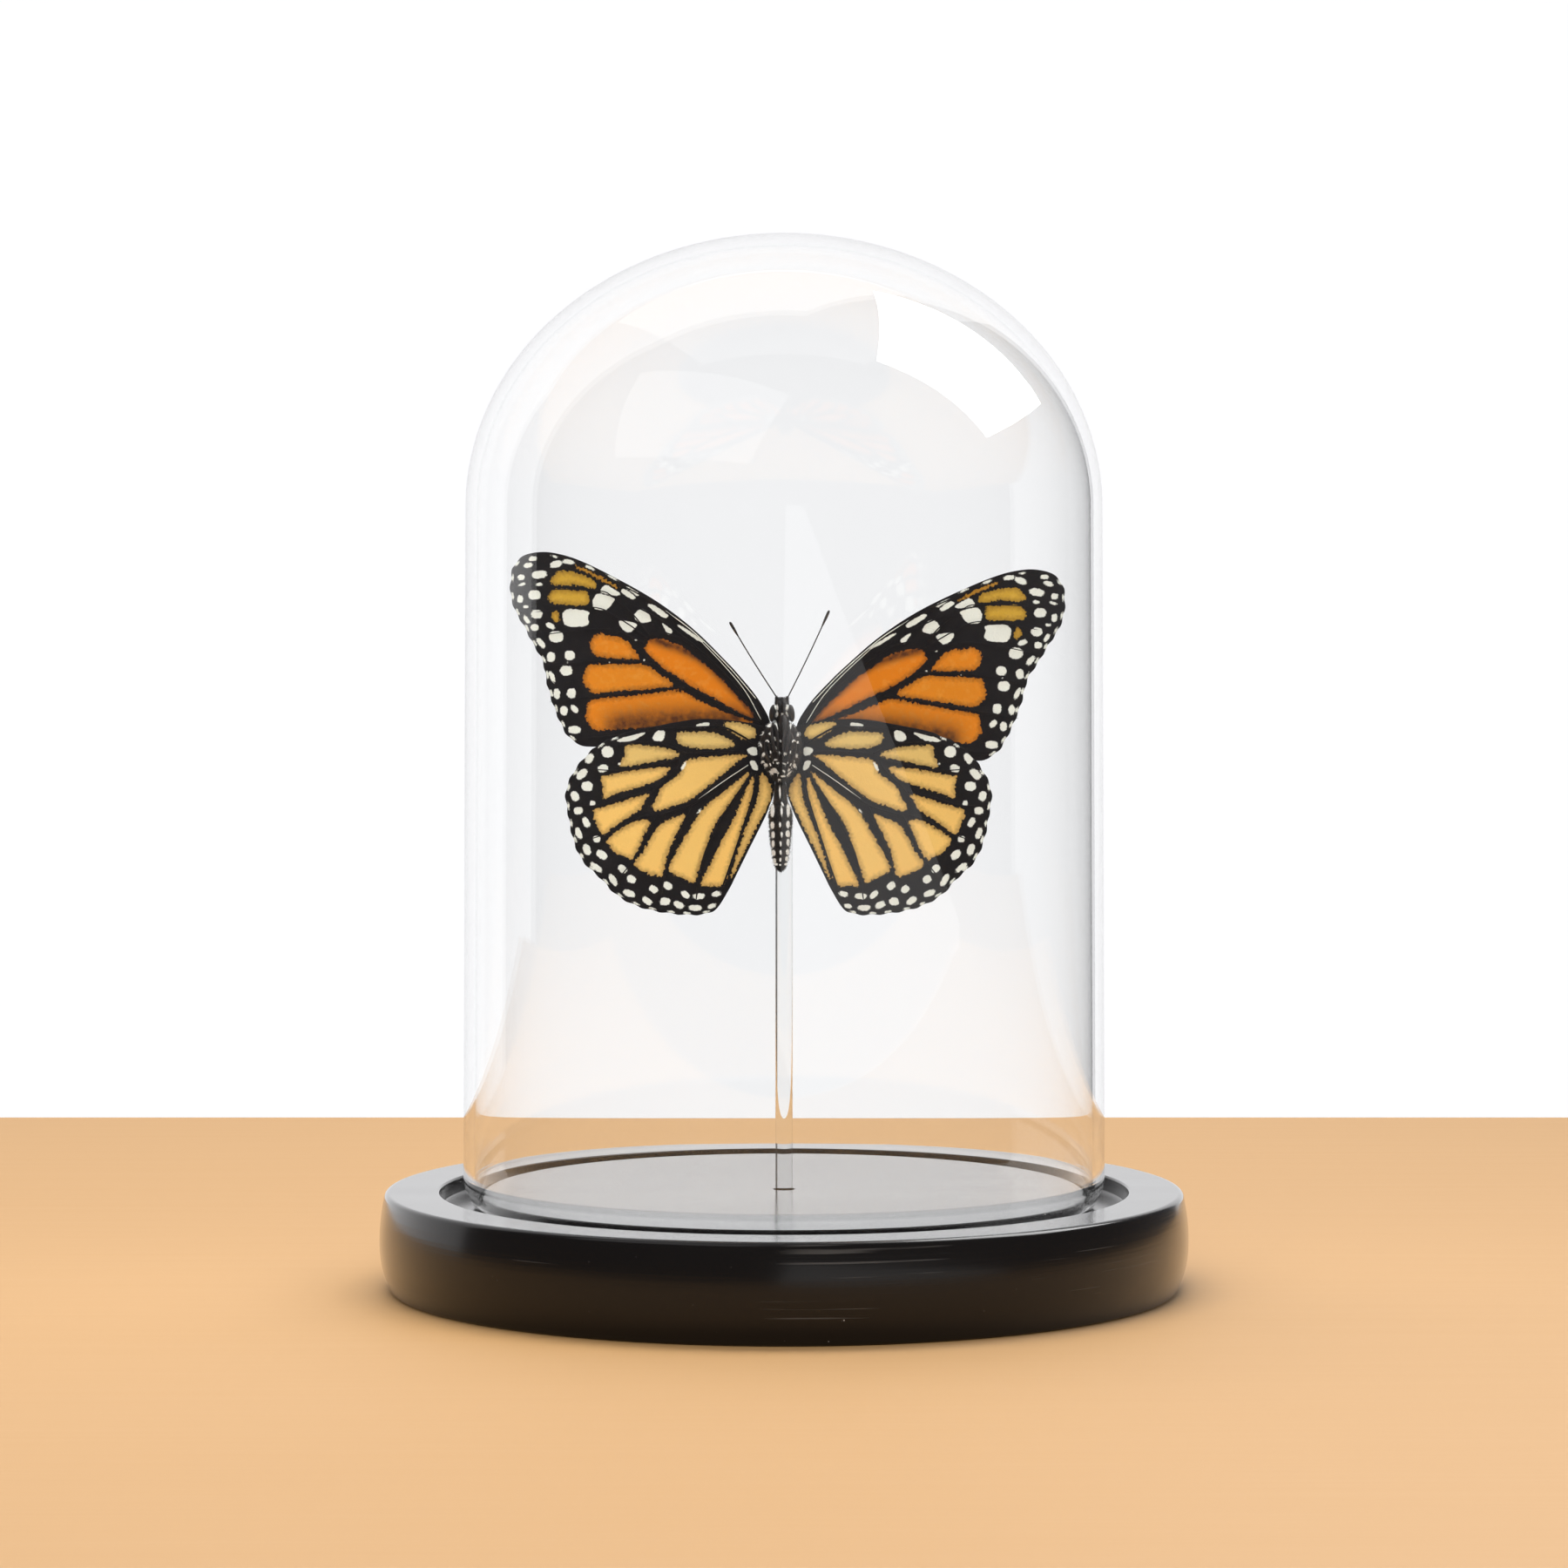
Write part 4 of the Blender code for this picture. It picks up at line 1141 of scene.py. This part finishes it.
def add_hair(name, host, tufts, middle_y, count, length, seed):
    """Short pointed hairs all over a piece, longer and white where it has white tufts."""
    chance = random.Random(seed)
    mesh = host.data
    mesh.calc_loop_triangles()
    corners = np.array([triangle.vertices for triangle in mesh.loop_triangles])
    areas = [triangle.area for triangle in mesh.loop_triangles]
    places = read_points(mesh)
    chosen = chance.choices(range(len(areas)), weights=areas, k=count)
    roots = []
    for index in chosen:
        a, b, c = places[corners[index]]
        first, second = chance.random(), chance.random()
        if first + second > 1:
            first, second = 1 - first, 1 - second
        normal = np.cross(b - a, c - a)
        roots.append((a + first * (b - a) + second * (c - a), normal / np.linalg.norm(normal)))
    gaps = spot_distance(front_plan(np.array([root for root, normal in roots]), middle_y), tufts)
    verts = []
    faces = []
    values = []
    for (root, normal), gap in zip(roots, gaps):
        if 0.04 < gap < 0.22 or (gap < 0.04 and chance.random() < 0.6):
            continue
        lean = np.array((chance.gauss(0, 0.35), chance.gauss(0, 0.2), chance.gauss(-0.75, 0.3)))
        lean -= 0.8 * normal * min(0.0, float(lean @ normal))
        white = gap < 0.04
        reach = length * chance.uniform(0.6, 1.2) * (1.5 if white else 1.0)
        width = 0.05 * MM * chance.uniform(0.7, 1.3)
        rise = 0.75 * normal + 0.5 * lean
        middle = root + rise / np.linalg.norm(rise) * reach * 0.5
        fall = 0.35 * normal + 1.0 * lean
        tip = middle + fall / np.linalg.norm(fall) * reach * 0.5
        side = np.cross(tip - root, normal)
        side /= max(np.linalg.norm(side), 1e-9)
        out = np.cross(side, tip - root)
        out /= max(np.linalg.norm(out), 1e-9)
        start = len(verts)
        low = root - 0.1 * MM * normal
        for centre, half in ((low, width), (middle, 0.7 * width)):
            verts += [centre + side * half, centre - side * half, centre + out * half]
        verts.append(tip)
        for k in range(3):
            j = (k + 1) % 3
            faces.append((start + k, start + j, start + 3 + j, start + 3 + k))
            faces.append((start + 3 + k, start + 3 + j, start + 6))
        faces.append((start + 2, start + 1, start))
        values += [gap] * 7
    hair = bpy.data.meshes.new(name)
    hair.from_pydata([tuple(vert) for vert in verts], [], faces)
    piece = add_piece(name, hair)
    set_values(hair, "tuft", values)
    face_outwards(piece)
    smooth_shading(piece)
    return piece


def mark_tufts(piece, tufts, middle_y):
    gaps = spot_distance(front_plan(read_points(piece.data), middle_y), tufts)
    set_values(piece.data, "tuft", gaps)


def leave_plain(piece):
    set_values(piece.data, "tuft", np.full(len(piece.data.vertices), FAR))


class BUTTERFLY_OT_thorax(bpy.types.Operator):
    """Make the furry thorax with its white tufts"""
    bl_idname = "butterfly.thorax"
    bl_label = "Thorax"

    def execute(self, context):
        settings = context.scene.butterfly_body
        finish = body_finish("Thorax scales", settings)
        thorax = ringed("Thorax", THORAX_RINGS, THORAX_Y)
        mark_tufts(thorax, THORAX_TUFTS, THORAX_Y)
        settle(thorax, finish, "body_scales", "thorax")
        hair = add_hair("Thorax_hair", thorax, THORAX_TUFTS, THORAX_Y, settings.hairs, 0.34 * MM, 5)
        settle(hair, finish, "body_scales")
        return {"FINISHED"}


class BUTTERFLY_OT_head(bpy.types.Operator):
    """Make the head with its eyes and palps"""
    bl_idname = "butterfly.head"
    bl_label = "Head"

    def execute(self, context):
        settings = context.scene.butterfly_body
        finish = body_finish("Head scales", settings)
        head = ringed("Head", HEAD_RINGS, HEAD_Y, segments=48, rows=48, aside=HEAD_ASIDE)
        mark_tufts(head, HEAD_TUFTS, HEAD_Y)
        settle(head, finish, "body_scales", "head")
        hair = add_hair("Head_hair", head, HEAD_TUFTS, HEAD_Y, settings.hairs // 4, 0.3 * MM, 8)
        settle(hair, finish, "body_scales")

        shell = shell_finish("Eye shell", settings)
        eyes = []
        for side in (-1, 1):
            deselect_all()
            x = HEAD_ASIDE + side * EYE_ASIDE
            place = (BODY_X + x * MM, HEAD_Y - EYE_FORWARD * MM, BODY_Z + EYE_UP * MM)
            bpy.ops.mesh.primitive_uv_sphere_add(
                segments=40, ring_count=24, radius=1.0 * MM, location=place,
                rotation=(0, math.radians(-6 * side), 0), scale=(0.6, 1.15, 1.5))
            eyes.append(named("Eye"))
            apply_place(eyes[-1])
        eyes = join_pieces(eyes, "Eyes")
        smooth_shading(eyes)
        mark_tufts(eyes, HEAD_TUFTS, HEAD_Y)
        settle(eyes, shell, "leg_shell")

        routes = []
        for side in (-1, 1):
            palp = []
            stub = []
            for step in range(9):
                share = step / 8
                round_end = 1.0 if step < 8 else 0.35
                x = BODY_X + (HEAD_ASIDE + side * (0.30 + 0.12 * share)) * MM
                y = HEAD_Y - (1.9 - 0.5 * share) * MM
                half = (0.34 + 0.14 * math.sin(math.pi * share)) * round_end
                palp.append((x, y, BODY_Z + (5.5 + 1.9 * share) * MM, half * MM))
                x = BODY_X + (HEAD_ASIDE + side * (0.85 + 0.08 * share)) * MM
                half = (0.34 - 0.10 * share) * round_end
                stub.append((x, HEAD_Y - 0.3 * MM, BODY_Z + (6.9 + 1.4 * share) * MM, half * MM))
            routes += [palp, stub]
        palps = add_tubes("Palps", routes, sides=16)
        tufts = [(-0.55, 6.45, 0.9, 0.26, 100), (1.05, 6.45, 0.9, 0.26, 80)]
        palp_y = HEAD_Y - 0.6 * MM
        mark_tufts(palps, tufts, palp_y)
        settle(palps, finish, "body_scales")
        fuzz = add_hair("Palp_hair", palps, tufts, palp_y, 500, 0.25 * MM, 3)
        settle(fuzz, finish, "body_scales")
        return {"FINISHED"}


def abdomen_tufts():
    """Pale marks along the abdomen: a pair on each segment and a broken line between."""
    chance = random.Random(21)
    tufts = [(-0.1, -8.2, 1.9, 0.3, 92), (0.35, -10.2, 0.7, 0.3, -60)]
    stops = (-9.9,) + ABDOMEN_JOINTS[1:] + (-21.0,)
    for high, low in zip(stops, stops[1:]):
        middle = 0.5 * (high + low)
        length = 0.72 * (high - low)
        reach = float(np.interp(-middle, [10, 13, 17, 21], [1.25, 1.4, 1.3, 0.9]))
        for side in (-1, 1):
            x = side * reach + chance.uniform(-0.1, 0.1)
            width = chance.uniform(0.5, 0.75)
            tufts.append((x, middle + chance.uniform(-0.2, 0.2), length, width, 90))
        tufts.append((chance.uniform(-0.1, 0.25), middle, 0.75 * length, 0.35, 92))
    return tufts


class BUTTERFLY_OT_abdomen(bpy.types.Operator):
    """Make the segmented abdomen with its pale marks"""
    bl_idname = "butterfly.abdomen"
    bl_label = "Abdomen"

    def execute(self, context):
        settings = context.scene.butterfly_body
        finish = body_finish("Abdomen scales", settings, 0.5)
        tufts = abdomen_tufts()
        abdomen = ringed("Abdomen", ABDOMEN_RINGS, ABDOMEN_Y, ABDOMEN_JOINTS, rows=160)
        mark_tufts(abdomen, tufts, ABDOMEN_Y)
        settle(abdomen, finish, "body_scales", "abdomen")
        hair = add_hair("Abdomen_hair", abdomen, tufts, ABDOMEN_Y, settings.hairs // 2, 0.32 * MM, 9)
        settle(hair, finish, "body_scales")
        return {"FINISHED"}


def thorax_front(across, up):
    """Depth of the front of the thorax at a place on its front view, in metres."""
    rows = np.array(THORAX_RINGS)[::-1]
    width = np.interp(up, rows[:, 0], rows[:, 1])
    depth = np.interp(up, rows[:, 0], rows[:, 2])
    reach = math.sqrt(max(0.0, 1 - (across / max(width, 1e-6)) ** 2))
    return THORAX_Y - depth * reach * MM


class BUTTERFLY_OT_legs(bpy.types.Operator):
    """Make the legs, folded against the front of the thorax"""
    bl_idname = "butterfly.legs"
    bl_label = "Folded legs"

    def execute(self, context):
        settings = context.scene.butterfly_body
        finish = shell_finish("Leg shell", settings)
        pads = []
        for route in FORELEG_ROUTES:
            line = curve_through(route, 6, closed=False)
            pads.append([(BODY_X + x * MM, THORAX_Y - depth * MM, BODY_Z + up * MM, half * MM)
                         for x, up, depth, half in line])
        forelegs = add_tubes("Forelegs", pads, sides=20)
        leave_plain(forelegs)
        settle(forelegs, finish, "leg_shell")
        for number, route in LEG_ROUTES.items():
            line = curve_through(route, 5, closed=False)
            for side_name, side in (("left", -1), ("right", 1)):
                rows = []
                for across, up, half in line:
                    y = thorax_front(across, up) - (0.30 + half) * MM
                    rows.append((BODY_X + side * across * MM, y, BODY_Z + up * MM, half * MM))
                leg = add_tubes(f"Leg_{number}_{side_name}", [rows], sides=12)
                plan = front_plan(read_points(leg.data), 0.0)
                middle = line[:, :2] * (side, 1)
                gap = nearest_on(plan, middle)[1]
                run = nearest_on(plan, middle)[0][:, 1] * 1.15 + number
                broken = np.where((np.sin(run * 2.6) > 0.2) & (number > 1), 0.0, FAR)
                set_values(leg.data, "tuft", gap - 0.09 + broken)
                settle(leg, finish, "leg_shell", f"leg_{side_name}_{number}")
        return {"FINISHED"}


class BUTTERFLY_OT_antennae(bpy.types.Operator):
    """Make the two clubbed antennae"""
    bl_idname = "butterfly.antennae"
    bl_label = "Antennae"

    def execute(self, context):
        settings = context.scene.butterfly_body
        finish = shell_finish("Antenna shell", settings)
        for side_name, side in (("left", -1), ("right", 1)):
            low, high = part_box("antenna_" + side_name)
            foot = np.array((0.68, 8.1) if side < 0 else (1.32, 8.2))
            reach = high.x - BODY_X if side > 0 else BODY_X - low.x
            tip = np.array((reach / MM - 0.2, (high.z - BODY_Z) / MM - 0.1))
            outwards = np.array((tip[1] - foot[1], foot[0] - tip[0]))
            outwards /= np.linalg.norm(outwards)
            rows = []
            for step in range(ANTENNA_STEPS + 1):
                share = step / ANTENNA_STEPS
                across, up = foot + (tip - foot) * share
                across += outwards[0] * 0.12 * math.sin(math.pi * share)
                up += outwards[1] * 0.12 * math.sin(math.pi * share)
                y = -4.6 - 1.4 * share
                club = max(0.0, 1 - abs(share - 0.94) / 0.13)
                half = 0.115 + 0.15 * math.sin(0.5 * math.pi * club)
                half *= 1 - 0.10 * (step % 2)
                half *= 0.55 if step == ANTENNA_STEPS else 1.0
                rows.append((BODY_X + side * across * MM, y * MM, BODY_Z + up * MM, half * MM))
            antenna = add_tubes("Antenna_" + side_name, [rows], sides=12)
            leave_plain(antenna)
            settle(antenna, finish, "leg_shell", "antenna_" + side_name)
        return {"FINISHED"}


# ---------------------------------------------------------------- stage

def add_light(name, place, size, power, glossy, roll=0.0):
    """Add a soft light which shows either only in reflections or only on matt surfaces."""
    deselect_all()
    bpy.ops.object.light_add(type="AREA", location=place)
    light = named(name)
    light.data.shape = "RECTANGLE"
    light.data.size, light.data.size_y = size
    light.data.energy = power
    light.visible_glossy = glossy
    light.visible_diffuse = not glossy
    light.visible_transmission = False
    light.visible_camera = False
    aim = (LIGHT_AIM - Vector(place)).to_track_quat("-Z", "Y").to_matrix()
    light.rotation_euler = (aim @ Matrix.Rotation(roll, 3, "Z")).to_euler()


class BUTTERFLY_OT_stage(bpy.types.Operator):
    """Add the flat floor, the glowing card behind it, the lights and the camera"""
    bl_idname = "butterfly.stage"
    bl_label = "Stage"

    def execute(self, context):
        settings = context.scene.butterfly_stage
        scene = context.scene
        scene.view_settings.view_transform = "Standard"
        world = bpy.data.worlds.new("Grey room")
        scene.world = world
        world.use_nodes = True
        world.node_tree.nodes["Background"].inputs["Color"].default_value = (0.09, 0.09, 0.095, 1)

        back = settings.floor_back
        deselect_all()
        bpy.ops.mesh.primitive_plane_add(size=1, location=(0, back - 0.36, 0))
        floor = named("Floor")
        floor.scale = (1.8, 0.72, 1.0)
        apply_place(floor)
        finish = Finish("Warm table", Base_Color=settings.floor, Roughness=0.7)
        grain = finish.step(finish.noise(120, 3, (0.06, 1, 1)), 0.3, 0.7)
        finish.shade("Normal", finish.bump(grain, 0.00005))
        floor.data.materials.append(finish.material)

        deselect_all()
        bpy.ops.mesh.primitive_plane_add(
            size=1, location=(-0.86, back + 0.12, 1.5), rotation=(math.radians(90), 0, 0))
        backdrop = named("Backdrop")
        backdrop.scale = (2.3, 4.0, 1.0)
        apply_place(backdrop)
        card = Finish("Glowing card", Base_Color=(0, 0, 0), Roughness=1.0, Specular_IOR_Level=0.0)
        card.shade("Emission Color", settings.backdrop)
        card.shade("Emission Strength", settings.backdrop_glow)
        from_behind = card.node("NewGeometry").outputs["Backfacing"]
        card.shade("Alpha", card.math("SUBTRACT", 1.0, from_behind))
        backdrop.data.materials.append(card.material)

        add_light("Window", (0.45, 0.10, 0.62), (0.50, 0.52), 9.0, True)
        add_light("High_card", (-0.35, -0.45, 0.60), (0.7, 0.5), 1.0, True)
        add_light("Side_card", (0.41, -0.693, -0.009), (1.0, 0.2), 0.6, True, math.radians(-9.3))
        add_light("Glow", (0, back + 0.10, 0.80), (0.9, 1.6), 3.5, True)
        add_light("Key", (-0.35, -0.75, 0.75), (0.9, 0.9), 11.0, False)
        add_light("Fill", (0.60, -0.55, 0.40), (0.8, 0.8), 4.5, False)
        add_light("Rear", (0, 0.18, 0.90), (0.8, 0.3), 12.0, False)

        bpy.ops.object.camera_add(
            location=(0, -settings.camera_distance, settings.camera_height),
            rotation=(math.radians(90) - settings.camera_tilt, 0, 0))
        camera = named("Camera")
        camera.data.lens = 118.8
        camera.data.sensor_width = 36.0
        camera.data.clip_start = 0.01
        scene.camera = camera
        return {"FINISHED"}


# ---------------------------------------------------------------- panel and registration

class BUTTERFLY_PT_panel(bpy.types.Panel):
    """The pieces in the order in which they are made"""
    bl_idname = "BUTTERFLY_PT_panel"
    bl_label = "Butterfly under glass"
    bl_space_type = "VIEW_3D"
    bl_region_type = "UI"
    bl_category = "Butterfly"

    def draw(self, context):
        for kind in OPERATORS:
            self.layout.operator(kind.bl_idname)
        for name in SETTINGS:
            box = self.layout.box()
            group = getattr(context.scene, name)
            for prop in group.bl_rna.properties:
                if prop.identifier not in ("name", "rna_type"):
                    box.prop(group, prop.identifier)


SETTINGS = {
    "butterfly_holder": HolderSettings,
    "butterfly_wings": WingSettings,
    "butterfly_body": BodySettings,
    "butterfly_stage": StageSettings,
}
OPERATORS = (
    BUTTERFLY_OT_base,
    BUTTERFLY_OT_dome,
    BUTTERFLY_OT_rod,
    BUTTERFLY_OT_forewings,
    BUTTERFLY_OT_hindwings,
    BUTTERFLY_OT_thorax,
    BUTTERFLY_OT_head,
    BUTTERFLY_OT_abdomen,
    BUTTERFLY_OT_legs,
    BUTTERFLY_OT_antennae,
    BUTTERFLY_OT_stage,
)


def register():
    for kind in (*SETTINGS.values(), *OPERATORS, BUTTERFLY_PT_panel):
        bpy.utils.register_class(kind)
    for name, kind in SETTINGS.items():
        setattr(bpy.types.Scene, name, PointerProperty(type=kind))


def unregister():
    for name in SETTINGS:
        delattr(bpy.types.Scene, name)
    for kind in reversed((*SETTINGS.values(), *OPERATORS, BUTTERFLY_PT_panel)):
        bpy.utils.unregister_class(kind)


def main():
    register()
    bpy.ops.butterfly.base()
    bpy.ops.butterfly.dome()
    bpy.ops.butterfly.rod()
    bpy.ops.butterfly.forewings()
    bpy.ops.butterfly.hindwings()
    bpy.ops.butterfly.thorax()
    bpy.ops.butterfly.head()
    bpy.ops.butterfly.abdomen()
    bpy.ops.butterfly.legs()
    bpy.ops.butterfly.antennae()
    bpy.ops.butterfly.stage()


if __name__ == "__main__":
    main()
